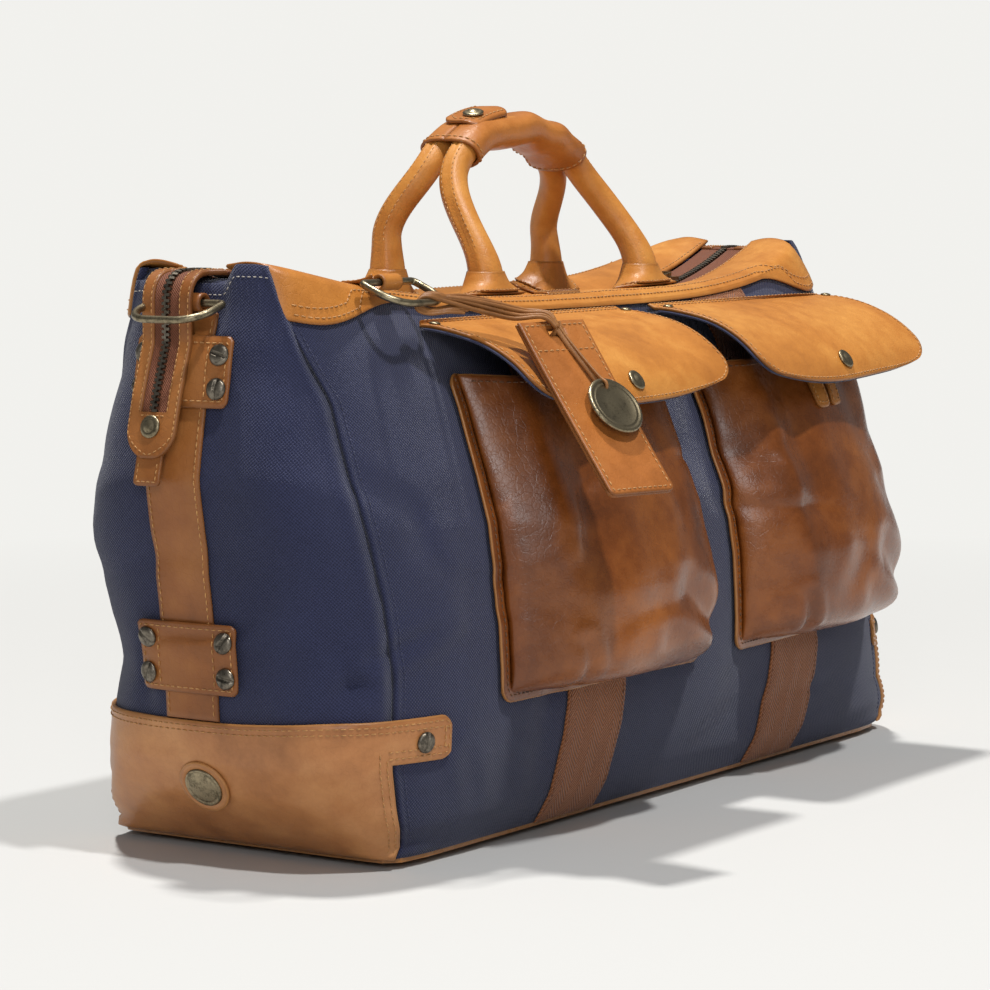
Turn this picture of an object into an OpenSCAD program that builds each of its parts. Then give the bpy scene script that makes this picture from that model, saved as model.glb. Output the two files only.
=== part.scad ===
// Weekender bag: canvas body with leather yokes, end boots, two bellows pockets
// with flaps, rolled handles in a grip wrap, a top zip and a hanging tag.
// Millimetres. X runs along the bag, the pockets face -Y, +Z is up and the
// origin is the underside of the middle foot.

/* [Body] */
// Half length of the flat base
base_half_l = 292; // [280:1:304]
// Half depth of the flat base
base_half_w = 101; // [96:1:106]
// Height of the front and rear folds at the middle
fold_h = 307; // [304:1:310]
// Rise of the two end crests above the folds
crest_rise = 29; // [22:1:30]
// Canvas thickness
canvas_t = 1.6; // [1.2:0.1:1.8]
// Leather thickness
leather_t = 2.2; // [1.8:0.1:2.4]

/* [Feet and base] */
// Diameter of one foot
foot_d = 12; // [10:0.5:14]
// Height of one foot below the base
foot_h = 4; // [3:0.5:4]
// Spacing of the feet along the bag
foot_pitch = 195; // [180:5:210]
// Distance of the outer feet from the middle line
foot_row = 76; // [70:1:80]
// Thickness of the stiffener board
board_t = 3; // [2:0.5:4]

/* [Webbing] */
// Width of the webbing straps
webbing_w = 64; // [56:1:68]
// Distance of each strap's middle from the bag's middle
webbing_x = 123; // [118:1:126]
// Webbing thickness
webbing_t = 1.5; // [1.2:0.1:1.6]

/* [Pockets] */
// Width of one pocket
pocket_w = 212; // [200:1:214]
// Middle of the left pocket
pocket_left_x = -118; // [-126:1:-116]
// Middle of the right pocket
pocket_right_x = 142; // [130:1:144]
// Height of the pocket's lower edge
pocket_low = 88; // [84:1:92]
// Height of the pocket's mouth
pocket_top = 268; // [262:1:270]
// How far the pocket stands out from the canvas
pocket_depth = 42; // [34:1:44]

/* [Flaps] */
// Width of one flap
flap_w = 220; // [206:1:224]
// Length of the flap from its hinge to its front edge
flap_l = 98; // [90:1:102]
// Height of the flap's hinge
flap_h = 300; // [298:1:301]

/* [Handles] */
// Radius of the rolled handles
handle_r = 8.7; // [8:0.1:9]
// Half spacing of one handle's legs
handle_half = 90; // [84:1:94]
// Rise of the handles above their roots
handle_rise = 91; // [85:1:93]
// Length of the grip wrap
wrap_l = 116; // [100:1:118]

/* [Hardware] */
// Inside width of the D rings
ring_w = 50; // [46:1:52]
// Wire diameter of the D rings
ring_wire = 4.2; // [3.6:0.1:4.4]
// Width of the end straps
strap_w = 37; // [34:1:38]
// Width of the zip tails
tail_w = 34; // [30:1:35]
// Diameter of the slotted studs
stud_d = 12; // [10:0.5:13]

/* [Hidden] */
$fn = 32;

canvas = "#262b4a";
tan = "#b8742f";
brown = "#8f4f22";
weave = "#8a4a2a";
old_brass = "#6e6650";
dark = "#2a2622";

base_z = foot_h;

// Body outline by height: half lengths to the left and right, half depths to
// the front and rear, and how square the corners are at each end.
left_by_h = [[4, 0], [12, 7], [25, 20], [40, 35], [60, 46], [80, 51], [110, 53], [150, 58],
    [190, 65], [215, 68], [250, 60], [280, 50], [307, 46]];
right_by_h = [[4, 0], [12, 18], [25, 23], [40, 25], [60, 26], [80, 24], [110, 20], [150, 16],
    [190, 11], [215, 7], [250, 0], [280, -14], [307, -34]];
front_by_h = [[4, 0], [12, 5], [25, 13], [40, 18], [60, 23], [80, 26], [110, 27], [150, 25],
    [190, 18], [215, 9], [250, -4], [280, -19], [307, -39]];
rear_by_h = [[4, 0], [12, 5], [25, 12], [40, 14], [60, 14], [80, 14], [110, 14], [150, 12],
    [190, 7], [215, -1], [250, -11], [280, -23], [307, -39]];
square_left = [[4, 24], [12, 10], [25, 8], [40, 6], [60, 5.5], [80, 5], [110, 4.5], [250, 4.5],
    [280, 5], [307, 7]];
square_right = [[4, 24], [12, 10], [25, 7], [40, 5], [60, 4.2], [80, 3.8], [110, 3.5], [215, 3.4],
    [250, 3.6], [280, 4.5], [307, 7]];
levels = [base_z + 3.5, 12, 25, 40, 60, 80, 110, 150, 190, 215, 250, 280, 298, fold_h];

function smooth(t) = let (u = min(1, max(0, t))) u * u * (3 - 2 * u);
function mix(a, b, t) = a + (b - a) * t;
function steps(a, b, n) = [for (i = [0 : n]) mix(a, b, i / n)];
function half_x(h, left) = base_half_l + (left ? lookup(h, left_by_h) : lookup(h, right_by_h));
function half_y(h, front) = base_half_w + (front ? lookup(h, front_by_h) : lookup(h, rear_by_h));
// The rear left corner is rounder low down.
function square_at(h, left, front) = left
    ? lookup(h, square_left) - (front ? 0 : 1.4 * smooth((190 - h) / 80) * smooth((h - 4) / 30))
    : lookup(h, square_right);
// The folds and everything near them rise towards the crests.
function along(x) = abs(x) / half_x(fold_h, x < 0);
function lift(x) = crest_rise * pow(min(1, along(x)), 3);
function at_z(h, x) = h + lift(x) * smooth((h - 180) / 127);
// Nominal height at the ends of a point whose real height is z.
function level(z, k = 6) = k == 0 ? z : z - crest_rise * smooth((level(z, k - 1) - 180) / 127);

// Point on the body at nominal height h and angle t, off mm outside the canvas.
function body_at(t, h, off) =
    let (left = cos(t) < 0, a = half_x(h, left) + off, b = half_y(h, sin(t) < 0) + off,
        n = square_at(h, left, sin(t) < 0), r = pow(pow(abs(cos(t)), n) + pow(abs(sin(t)), n), -1 / n),
        x = a * r * cos(t))
    [x, b * r * sin(t), at_z(h, x)];
// Point on the front (s = -1) or rear (s = 1) at a given x.
function face_at(x, h, off, s) =
    let (left = x < 0, u = min(0.999, abs(x) / half_x(h, left)), n = square_at(h, left, s < 0))
    [x, s * (half_y(h, s < 0) * pow(1 - pow(u, n), 1 / n) + off), at_z(h, x)];
// Point on the left (s = -1) or right (s = 1) end at a given y.
function end_at(y, h, off, s) =
    let (n = square_at(h, s < 0, y < 0), u = min(0.999, abs(y) / half_y(h, y < 0)),
        x = s * (half_x(h, s < 0) * pow(1 - pow(u, n), 1 / n) + off))
    [x, y, at_z(h, x)];

// Puts children on a surface point, standing along the normal.
module stand_on(p, along_a, along_b) {
    n = cross(along_a, along_b);
    m = n / norm(n);
    translate(p) rotate([0, acos(m[2]), atan2(m[1], m[0])]) children();
}
module on_end(y, h, off, s) {
    stand_on(end_at(y, h, off, s), s * (end_at(y + 3, h, off, s) - end_at(y - 3, h, off, s)),
        end_at(y, h + 3, off, s) - end_at(y, h - 3, off, s)) children();
}
module on_face(x, h, off, s) {
    stand_on(face_at(x, h, off, s), -s * (face_at(x + 3, h, off, s) - face_at(x - 3, h, off, s)),
        face_at(x, h + 3, off, s) - face_at(x, h - 3, off, s)) children();
}

// Closed solid between two grids of points, outer[i][j] and inner[i][j].
module slab(outer, inner, flip = false) {
    n = len(outer);
    m = len(outer[0]);
    k = n * m;
    points = [for (row = outer) each row, for (row = inner) each row];
    function quad(a, b, c, d) = [[a, b, c], [a, c, d]];
    faces = [
        for (i = [0 : n - 2], j = [0 : m - 2]) let (p = i * m + j)
            each concat(quad(p, p + m, p + m + 1, p + 1),
                quad(k + p, k + p + 1, k + p + m + 1, k + p + m)),
        for (i = [0 : n - 2]) let (p = i * m, q = i * m + m - 1)
            each concat(quad(p, k + p, k + p + m, p + m), quad(q, q + m, k + q + m, k + q)),
        for (j = [0 : m - 2]) let (p = j, q = (n - 1) * m + j)
            each concat(quad(p, p + 1, k + p + 1, k + p), quad(q, k + q, k + q + 1, q + 1))];
    polyhedron(points, flip ? [for (f = faces) [f[2], f[1], f[0]]] : faces);
}

// Part of the body wall between two angles, given as functions of height,
// from off_in to off_out.
module wall(t0, t1, hs, off_in, off_out, n = 20) {
    slab([for (h = hs) [for (t = steps(t0(h), t1(h), n)) body_at(t, h, off_out)]],
        [for (h = hs) [for (t = steps(t0(h), t1(h), n)) body_at(t, h, off_in)]]);
}

// Strip on the front or rear between two x values.
module face_strip(x0, x1, hs, off_in, off_out, s, n = 8) {
    slab([for (h = hs) [for (x = steps(x0, x1, n)) face_at(x, h, off_out, s)]],
        [for (h = hs) [for (x = steps(x0, x1, n)) face_at(x, h, off_in, s)]], s > 0);
}

// Strip on an end between two y values.
module end_strip(y0, y1, hs, off_in, off_out, s, n = 6) {
    slab([for (h = hs) [for (y = steps(y0, y1, n)) end_at(y, h, off_out, s)]],
        [for (h = hs) [for (y = steps(y0, y1, n)) end_at(y, h, off_in, s)]], s < 0);
}

// Round bar or tube swept along points that lie near an XZ plane.
module sweep(path, r, sides = 12) {
    n = len(path);
    ring = [for (i = [0 : n - 1])
        let (d = path[min(n - 1, i + 1)] - path[max(0, i - 1)], t = d / norm(d),
            u = cross(t, [0, 1, 0]), a = u / norm(u), b = cross(t, a))
        [for (j = [0 : sides - 1]) path[i] + r * (a * cos(360 * j / sides) + b * sin(360 * j / sides))]];
    polyhedron([for (row = ring) each row], [
        [for (j = [0 : sides - 1]) j],
        [for (j = [0 : sides - 1]) n * sides - 1 - j],
        for (i = [0 : n - 2], j = [0 : sides - 1]) let (a = i * sides + j, b = i * sides + (j + 1) % sides)
            each [[a, a + sides, b + sides], [a, b + sides, b]]]);
}

// ---------------------------------------------------------------- base
base_ring = [for (t = steps(0, 357, 119)) let (p = body_at(t, base_z, 0.6)) [p[0], p[1]]];
feet_at = [[0, 0], for (i = [-1 : 1], s = [-1, 1]) [i * foot_pitch, s * foot_row]];

module foot_holes() {
    for (p = feet_at) translate([p[0], p[1], 0]) cylinder(h = 30, d = 4.6);
}

module base_panel() {
    color(brown) difference() {
        translate([0, 0, base_z]) linear_extrude(3) polygon(base_ring);
        foot_holes();
    }
}

module base_board() {
    board_z = base_z + 3.2;
    color("#5a4a3a") difference() {
        translate([-base_half_l + 14, -base_half_w + 12, board_z])
            cube([2 * base_half_l - 28, 2 * base_half_w - 24, board_t]);
        foot_holes();
    }
}

module feet() {
    color(dark) for (p = feet_at) translate([p[0], p[1], 0]) {
        cylinder(h = foot_h, d = foot_d);
        translate([0, 0, foot_h]) cylinder(h = 3.2 + board_t, d = 4.4);
        translate([0, 0, foot_h + 3.2 + board_t]) cylinder(h = 1.2, d = 10);
    }
}

// ---------------------------------------------------------------- body
function seam(h) = lookup(h, [[base_z, 44], [210, 43], [250, 41], [283, 35.5], [307, 34]]);
front_from = function (h) 180 + seam(h);
front_to = function (h) 360 - seam(h);
rear_from = function (h) seam(h);
rear_to = function (h) 180 - seam(h);
right_from = function (h) -seam(h);

module front_panel() { color(canvas) wall(front_from, front_to, levels, -canvas_t, 0, 30); }
module rear_panel() { color(canvas) wall(rear_from, rear_to, levels, -canvas_t, 0, 30); }
// The gussets stop below the crests, where the zip tails pass over.
gusset_levels = [for (h = levels) if (h < 300) h];
module gusset_left() { color(canvas) wall(rear_to, front_from, gusset_levels, -canvas_t, 0, 14); }
module gusset_right() { color(canvas) wall(right_from, rear_from, gusset_levels, -canvas_t, 0, 14); }

module lining() {
    hs = [for (i = [1 : 12]) levels[i]];
    color("#b9a27c") for (t = [0, 90, 180, 270])
        wall(function (h) t - 45, function (h) t + 45, hs, -canvas_t - 2.4, -canvas_t - 1.6, 16);
}

// ---------------------------------------------------------------- yokes and zip
zip_edge = tail_w / 2;
function zip_z(x) = 298 + (crest_rise + 9) * pow(min(1, along(x)), 3);
function ear(x) = 2.5 + 21.5 * smooth((along(x) - 0.7) / 0.26);

// Yoke surface: w from -1 (ear edge on the face) through 0 (fold) to 1 (zip).
function yoke_at(x, w, off, s) = w <= 0
    ? face_at(x, fold_h + w * ear(x), off, s) + [0, 0, w == 0 ? off : 0]
    : let (f = face_at(x, fold_h, 0, s), rise = 7 * sin(180 * pow(w, 0.8)) * (1 - 0.7 * along(x)))
        [x, mix(f[1], s * (zip_edge + 0.2), w), mix(f[2], zip_z(x), w) + rise + off];

yoke_gap = 0.9;
module yoke(s) {
    left = -0.96 * half_x(fold_h, true);
    right = 0.96 * half_x(fold_h, false);
    xs = [for (a = steps(0, 180, 30)) mix(left, right, 0.5 - 0.5 * cos(a))];
    ws = [-1, -0.5, 0, 0.15, 0.35, 0.6, 0.8, 1];
    slab([for (w = ws) [for (x = xs) yoke_at(x, w, yoke_gap + leather_t, s)]],
        [for (w = ws) [for (x = xs) yoke_at(x, w, yoke_gap, s)]], s > 0);
}

module yoke_front() { color(tan) yoke(-1); }
module yoke_rear() { color(tan) yoke(1); }

zip_x0 = -half_x(fold_h, true) + 12;
zip_x1 = half_x(fold_h, false) - 12;

module zip_strip(y0, y1, low, high) {
    xs = steps(zip_x0, zip_x1, 30);
    slab([for (y = [y0, y1]) [for (x = xs) [x, y, zip_z(x) + high]]],
        [for (y = [y0, y1]) [for (x = xs) [x, y, zip_z(x) + low]]]);
}

module zip_tape_front() { color(tan) zip_strip(-zip_edge, -3.2, -1, 1); }
module zip_tape_rear() { color(tan) zip_strip(3.2, zip_edge, -1, 1); }
module zip_teeth() { color(old_brass) zip_strip(-3, 3, -1.4, 1.4); }

slider_x = 170;
module zip_slider() {
    color(old_brass) translate([slider_x, 0, zip_z(slider_x) + 4.4]) {
        translate([-8, -5, 0]) cube([16, 10, 2.4]);
        translate([-4, -1.6, 2.4]) difference() {
            cube([8, 3.2, 3.6]);
            translate([4, -1, 2]) rotate([-90, 0, 0]) cylinder(h = 6, d = 1.7);
        }
    }
}

module zip_pull() {
    color(old_brass) translate([slider_x, 0, zip_z(slider_x) + 8.8]) rotate([0, -8, 0]) mirror([1, 0, 0]) {
        rotate([90, 0, 0]) translate([0, 0, -3.6]) cylinder(h = 7.2, d = 1.5);
        for (s = [-1, 1]) translate([-0.75, s * 2.7 - 0.9, -0.75]) cube([12, 1.8, 1.5]);
        translate([10, -4, -0.75]) cube([22, 8, 1.5]);
    }
}

// Tail of the zip: over the crest, outside the strap loop and down the end,
// in the end's own frame, where x points outwards.
tail_drop = 238;
tail_clear = 8.5;
snap_z = 254;
function crest_x(left) = half_x(fold_h, left) - 5;
function crest_z(left) = zip_z(left ? zip_x0 : zip_x1) + 1.5;
function over_x(left) = loop_x(left ? -1 : 1) + 7.2;
function hang_x(z, left) = half_x(level(z), left) + tail_clear + (300 - z) * 0.08;
function tail_path(left) = let (x0 = crest_x(left), z0 = crest_z(left), rx = over_x(left) - x0) concat(
    [for (a = [90 : -15 : 0]) [x0 + rx * pow(cos(a), 0.7), z0 - 20 + 20 * pow(sin(a), 0.7)]],
    [for (z = [300, 285, 270, snap_z, 247, 242, 239, tail_drop])
        [max(x0 + rx, hang_x(z, left)), z]]);
function tail_half(z) = z > snap_z ? zip_edge : zip_edge * sqrt(max(0.02, 1 - pow((snap_z - z) / 16.2, 2)));

module tail(left) {
    path = tail_path(left);
    n = len(path);
    function side(i) = let (d = path[min(n - 1, i + 1)] - path[max(0, i - 1)]) [-d[1], d[0]] / norm(d);
    function grid(off) = [for (i = [0 : n - 1]) let (p = path[i] + off * side(i))
        [for (u = [-1, -0.5, 0, 0.5, 1]) [p[0], u * tail_half(path[i][1]), p[1]]]];
    slab(grid(1.6), grid(-1.6), true);
    translate([hang_x(tail_drop, left) - 1.2, -8.5, tail_drop - 13]) cube([1.6, 17, 18]);
}

module zip_snap(left) {
    translate([hang_x(snap_z, left), 0, snap_z])
        rotate([0, 90 - atan((hang_x(snap_z - 6, left) - hang_x(snap_z + 6, left)) / 12), 0]) {
        translate([0, 0, 1.8]) cylinder(h = 1.6, d = 13);
        translate([0, 0, -3.4]) cylinder(h = 1.6, d = 9);
    }
}

module zip_tail_left() { color(tan) mirror([1, 0, 0]) tail(true); }
module zip_tail_right() { color(tan) tail(false); }
module zip_snap_left() { color(old_brass) mirror([1, 0, 0]) zip_snap(true); }
module zip_snap_right() { color(old_brass) zip_snap(false); }

// ---------------------------------------------------------------- end leather
boot_top = 84;
boot_levels = [levels[0], 12, 25, 40, 60, 80, boot_top];
tab_low = 62;
tab_end = base_half_l - 26;

module boot(s) {
    mid = s < 0 ? 180 : 0;
    wall(function (h) mid - seam(h), function (h) mid + seam(h), boot_levels, 0.3, 0.3 + leather_t, 14);
    for (f = [-1, 1]) {
        root = abs(body_at(mid + f * seam(boot_top), tab_low, 0)[0]) - 0.5;
        face_strip(min(s * root, s * tab_end), max(s * root, s * tab_end), [tab_low, 73, boot_top],
            0.3, 0.3 + leather_t, f, 4);
    }
}

module boot_left() { color(brown) boot(-1); }
module boot_right() { color(brown) boot(1); }

module badge(s) {
    on_end(2, 45, 0.9 + leather_t, s) {
        cylinder(h = 1.6, d = 33);
        translate([0, 0, 1.6]) cylinder(h = 2, d = 24);
    }
}

module badge_left() { color(old_brass) badge(-1); }
module badge_right() { color(old_brass) badge(1); }

loop_z = 317;
loop_r = 4.8;
function loop_x(s) = half_x(level(loop_z - loop_r), s < 0) + loop_r + 0.6;

module end_strap(s) {
    off = 0.3 + leather_t;
    levels = [boot_top + 0.5, 95, 110, 150, 190, 215, 250, 265, 280, 284];
    end_strip(-strap_w / 2, strap_w / 2, levels, 0.3, off, s);
    top = end_at(0, 283, 0.3, s);
    difference() {
        hull() {
            translate([s * loop_x(s), -10, loop_z]) rotate([-90, 0, 0]) cylinder(h = 20, r = loop_r);
            translate([top[0] + (s < 0 ? -leather_t : 0), -10, top[2]]) cube([leather_t, 20, 1]);
        }
        translate([s * loop_x(s), -30, loop_z]) rotate([-90, 0, 0]) cylinder(h = 60, d = ring_wire + 0.8);
    }
}

module end_strap_left() { color(tan) end_strap(-1); }
module end_strap_right() { color(tan) end_strap(1); }

plate_in = 0.9 + leather_t;
plate_out = plate_in + leather_t;

module plate(h0, h1, s) { end_strip(-34, 34, steps(h0, h1, 4), plate_in, plate_out, s, 8); }
module ring_plate_left() { color(tan) plate(245, 275, -1); }
module ring_plate_right() { color(tan) plate(245, 275, 1); }
module lower_plate_left() { color(tan) plate(100, 140, -1); }
module lower_plate_right() { color(tan) plate(100, 140, 1); }

module stud() {
    difference() {
        cylinder(h = 3, d1 = stud_d, d2 = stud_d - 4);
        translate([-stud_d / 2, -0.7, 2.2]) cube([stud_d, 1.4, 2]);
    }
}

module end_studs() {
    color(old_brass) for (s = [-1, 1], y = [-27, 27], h = [110, 130, 253, 267])
        on_end(y, h, plate_out + 0.3, s) stud();
}

module boot_studs() {
    color(old_brass) for (s = [-1, 1], f = [-1, 1])
        on_face(s * (tab_end + 20), 73, 0.8 + leather_t, f) stud();
}

// D ring lying in the XY plane: straight bar along Y at the origin, bow towards +X.
module d_ring() {
    r = ring_w / 2 - 8;
    depth = 27;
    rotate([90, 0, 0]) cylinder(h = ring_w - 6, d = ring_wire, center = true);
    for (s = [-1, 1]) {
        translate([3, s * (ring_w / 2 - 3), 0]) rotate([0, 0, s > 0 ? 90 : 180])
            rotate_extrude(angle = 90) translate([3, 0]) circle(d = ring_wire);
        translate([3, s * ring_w / 2, 0]) rotate([0, 90, 0]) cylinder(h = depth - 19, d = ring_wire);
        translate([depth - 16, s * (ring_w / 2 - 16), 0]) rotate([0, 0, s > 0 ? 0 : 270])
            rotate_extrude(angle = 90) translate([16, 0]) circle(d = ring_wire);
    }
    translate([depth, 0, 0]) rotate([90, 0, 0]) cylinder(h = ring_w - 32, d = ring_wire, center = true);
}

ring_tilt = 18;
module d_ring_left() {
    color(old_brass) mirror([1, 0, 0]) translate([loop_x(-1), 0, loop_z]) rotate([0, ring_tilt, 0]) d_ring();
}
module d_ring_right() {
    color(old_brass) translate([loop_x(1), 0, loop_z]) rotate([0, ring_tilt, 0]) d_ring();
}

// ---------------------------------------------------------------- webbing
webbing_levels = [base_z + 3.5, 12, 25, 40, 60, 80, 110, 150, 190, 215, 250, 280, 304];
module webbing(x, s) {
    color(weave) face_strip(x - webbing_w / 2, x + webbing_w / 2, webbing_levels, 0.3, 0.3 + webbing_t, s, 4);
}
module webbing_front_left() { webbing(-webbing_x, -1); }
module webbing_front_right() { webbing(webbing_x, -1); }
module webbing_rear_left() { webbing(-webbing_x, 1); }
module webbing_rear_right() { webbing(webbing_x, 1); }

// ---------------------------------------------------------------- pockets
// Distance that the pocket stands from its flange at side position u (-1 to 1)
// and height h.
function pocket_out(u, h) =
    let (side = pow(max(0, 1 - pow(abs(u), 6)), 0.6),
        foot = pow(max(0, 1 - pow(1 - min(1, (h - pocket_low) / 30), 3)), 0.5),
        body = h < 160 ? pocket_depth : pocket_depth - (h - 160) * 0.09)
    body * side * foot;

module pocket(xc) {
    us = [-1, -0.97, -0.92, -0.85, -0.7, -0.4, 0, 0.4, 0.7, 0.85, 0.92, 0.97, 1];
    hs = [pocket_low, 90, 94, 100, 108, 120, 150, 180, 210, 240, pocket_top];
    flange = 0.6 + webbing_t;
    function point(u, h, in) = face_at(xc + u * (pocket_w / 2 - in), h, flange + leather_t - in, -1)
        - [0, pocket_out(u, h), 0];
    slab([for (h = hs) [for (u = us) point(u, h, 0)]],
        [for (h = hs) [for (u = us) point(u, h, leather_t) + [0, 0, h < 89 ? leather_t : 0]]]);
}

module pocket_left() { color(brown) pocket(pocket_left_x); }
module pocket_right() { color(brown) pocket(pocket_right_x); }

// Middle of the pocket's front wall, on the outside.
function pocket_front(x, h) = face_at(x, h, 0.6 + webbing_t + leather_t, -1) - [0, pocket_out(0, h), 0];
module pocket_tabs() {
    color(tan) for (x = [pocket_left_x, pocket_right_x]) {
        p = pocket_front(x, 249);
        q = pocket_front(x, 266);
        translate(p) rotate([-atan2(q[1] - p[1], q[2] - p[2]), 0, 0])
            for (d = [-9, 9]) translate([d - 7, -2.8, 0]) cube([14, 2, norm(q - p)]);
    }
}

// ---------------------------------------------------------------- flaps
hinge_y = -73;
// Flap profile by distance d from the hinge and side position u.
function flap_y(d) = hinge_y - flap_l * 0.97 * sin(90 * pow(d, 0.9) * 0.78) / sin(70.2);
function flap_z(d, u) = flap_h - 45 * pow(d, 1.5) + 10 * pow(abs(u), 3) * d;
function flap_half(d) = d < 0.75 ? 1 : mix(1, 0.86, pow((d - 0.75) / 0.25, 2));

module flap_sheet(xc, low, high, d0 = 0.02, d1 = 1) {
    ds = steps(d0, d1, 9);
    us = steps(-1, 1, 14);
    function grid(off) = [for (d = ds) [for (u = us)
        [xc + u * flap_w / 2 * flap_half(d), flap_y(d) * 0.86 + hinge_y * 0.14, flap_z(d, u) + off]]];
    slab(grid(high), grid(low), true);
}

module flap_left() { color(tan) flap_sheet(pocket_left_x, 0.2, 2.4); }
module flap_right() { color(tan) flap_sheet(pocket_right_x, 0.2, 2.4); }
module flap_lining_left() { color(canvas) flap_sheet(pocket_left_x, -1.1, -0.2, 0.04, 0.98); }
module flap_lining_right() { color(canvas) flap_sheet(pocket_right_x, -1.1, -0.2, 0.04, 0.98); }

module flap_snap(xc) {
    d = 0.84;
    translate([xc, flap_y(d) * 0.86 + hinge_y * 0.14, flap_z(d, 0)]) rotate([52, 0, 0]) {
        translate([0, 0, 2.6]) cylinder(h = 1.6, d = 13);
        translate([0, 0, -3]) cylinder(h = 1.6, d = 9);
    }
}
module flap_snap_left() { color(old_brass) flap_snap(pocket_left_x); }
module flap_snap_right() { color(old_brass) flap_snap(pocket_right_x); }

// ---------------------------------------------------------------- handles
handle_cx = -14;
root_y = 36;
root_z = 322;
// The rear handle stays upright longer, so the two meet a little behind the middle.
grip_y = 6;
function merge(z, s) = s < 0 ? smooth(z / 72) : smooth((z - 24) / 48);

// Centre line of one handle, s = -1 front, s = 1 rear; the left shoulder is squarer.
function handle_path(s) = [for (a = steps(0, 180, 26))
    let (n = a > 90 ? 2.9 : 2.2, r = pow(pow(abs(cos(a)), n) + pow(sin(a), n), -1 / n),
        z = handle_rise * r * sin(a))
    [handle_cx + handle_half * r * cos(a), mix(s * root_y, grip_y + s * 9.3, merge(z, s)), root_z + z]];

module handle(s) {
    difference() {
        sweep(handle_path(s), handle_r);
        sweep(handle_path(s), handle_r - 2.7, 8);
    }
}
module handle_front() { color(tan) handle(-1); }
module handle_rear() { color(tan) handle(1); }
module handle_cores() { color("#c9b48c") for (s = [-1, 1]) sweep(handle_path(s), handle_r - 3, 8); }

function root_floor(x, s) = yoke_at(x, 0.35, yoke_gap + leather_t, s)[2];
module handle_roots() {
    color(tan) for (s = [-1, 1], e = [-1, 1]) {
        x = handle_cx + e * handle_half;
        translate([x, s * root_y, root_floor(x, s) + 2.8]) difference() {
            cylinder(h = 9, d1 = 34, d2 = 27);
            translate([0, 0, -1]) cylinder(h = 12, d = 23);
        }
    }
}

module handle_patches() {
    color(tan) for (s = [-1, 1], e = [-1, 1]) {
        x = handle_cx + e * handle_half;
        translate([x, s * (root_y + 1), root_floor(x, s) + 0.8])
            linear_extrude(1.8) polygon([[-26, -11], [26, -11], [34, 0], [26, 11], [-26, 11], [-34, 0]]);
    }
}

wrap_x = -18;
function wrap_path(more) = [for (q = handle_path(-1)) if (abs(q[0] - wrap_x) < wrap_l / 2 + more)
    [q[0], grip_y, q[2]]];
function wrap_grid(a, b, more) = let (path = wrap_path(more), n = len(path)) [for (i = [0 : n - 1])
    let (d = path[min(n - 1, i + 1)] - path[max(0, i - 1)], t = d / norm(d), u = cross(t, [0, 1, 0]))
    [for (j = [0 : 24]) let (g = 15 * j, r = pow(pow(abs(cos(g)), 2.6) + pow(abs(sin(g)), 2.6), -1 / 2.6))
        path[i] + r * (b * cos(g) * u - [0, a * sin(g), 0])]];

module handle_wrap() {
    color(brown) difference() {
        tube(wrap_grid(21.6, 12, 4));
        tube(wrap_grid(19.3, 9.7, 16));
    }
}

module tube(grid) {
    n = len(grid);
    m = len(grid[0]) - 1;
    polyhedron([for (row = grid) for (j = [0 : m - 1]) row[j]], [
        [for (j = [0 : m - 1]) j],
        [for (j = [0 : m - 1]) n * m - 1 - j],
        for (i = [0 : n - 2], j = [0 : m - 1]) let (a = i * m + j, b = i * m + (j + 1) % m)
            each [[a, a + m, b + m], [a, b + m, b]]]);
}

tongue_x = -50;
tongue_z = root_z + handle_rise + 9.9;
tongue_lean = -13;
module tongue_frame() { translate([tongue_x, grip_y + 12, tongue_z]) rotate([0, tongue_lean, 0]) children(); }
module wrap_tongue() { color(brown) tongue_frame() translate([-22, -26, 0.4]) cube([40, 26, 2]); }
module wrap_snap() {
    color(old_brass) tongue_frame() translate([-10, -16, 2.6]) cylinder(h = 1.8, d = 13);
}

// ---------------------------------------------------------------- tag
keeper_x = -258;
keeper_y = -72;
keeper_z = 327;
module front_ring() {
    color(old_brass) translate([keeper_x, keeper_y, keeper_z])
        rotate([0, 0, -90]) rotate([0, 24, 0]) d_ring();
}
module ring_keeper() {
    color(tan) difference() {
        hull() {
            translate([keeper_x - 9, keeper_y, keeper_z]) rotate([0, 90, 0]) cylinder(h = 18, d = 9.6);
            translate([keeper_x - 9, keeper_y + 18, keeper_z + 1.5]) cube([18, 6, 2]);
        }
        translate([keeper_x - 20, keeper_y, keeper_z])
            rotate([0, 90, 0]) cylinder(h = 40, d = ring_wire + 0.8);
    }
}

tag_top = [-190.6, -138, 297];
tag_turn = [52, 0, -12];
module tag_frame() { translate(tag_top) rotate(tag_turn) children(); }
module tag() {
    color(tan) tag_frame() difference() {
        translate([-26, -112, 0]) cube([52, 118, 4]);
        translate([-6, -4, -1]) cube([12, 5, 6]);
    }
}
module medallion() {
    color(old_brass) tag_frame() translate([8, -57, 8.5]) difference() {
        cylinder(h = 2.4, d = 37);
        translate([0, 15, -1]) cylinder(h = 5, d = 3.2);
    }
}
lace_path = [[-243, -101, 318.5], [-232, -108, 317], [-217, -117, 313.5], [-202, -127, 309.5],
    [-195.6, -138, 308.5], [-193.6, -144, 301.5]];
module tag_laces() {
    color(dark) for (d = [0, 4.5]) sweep([for (p = lace_path) p + [d, -0.3 * d, 0.1 * d]], 1.6, 8);
}

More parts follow.
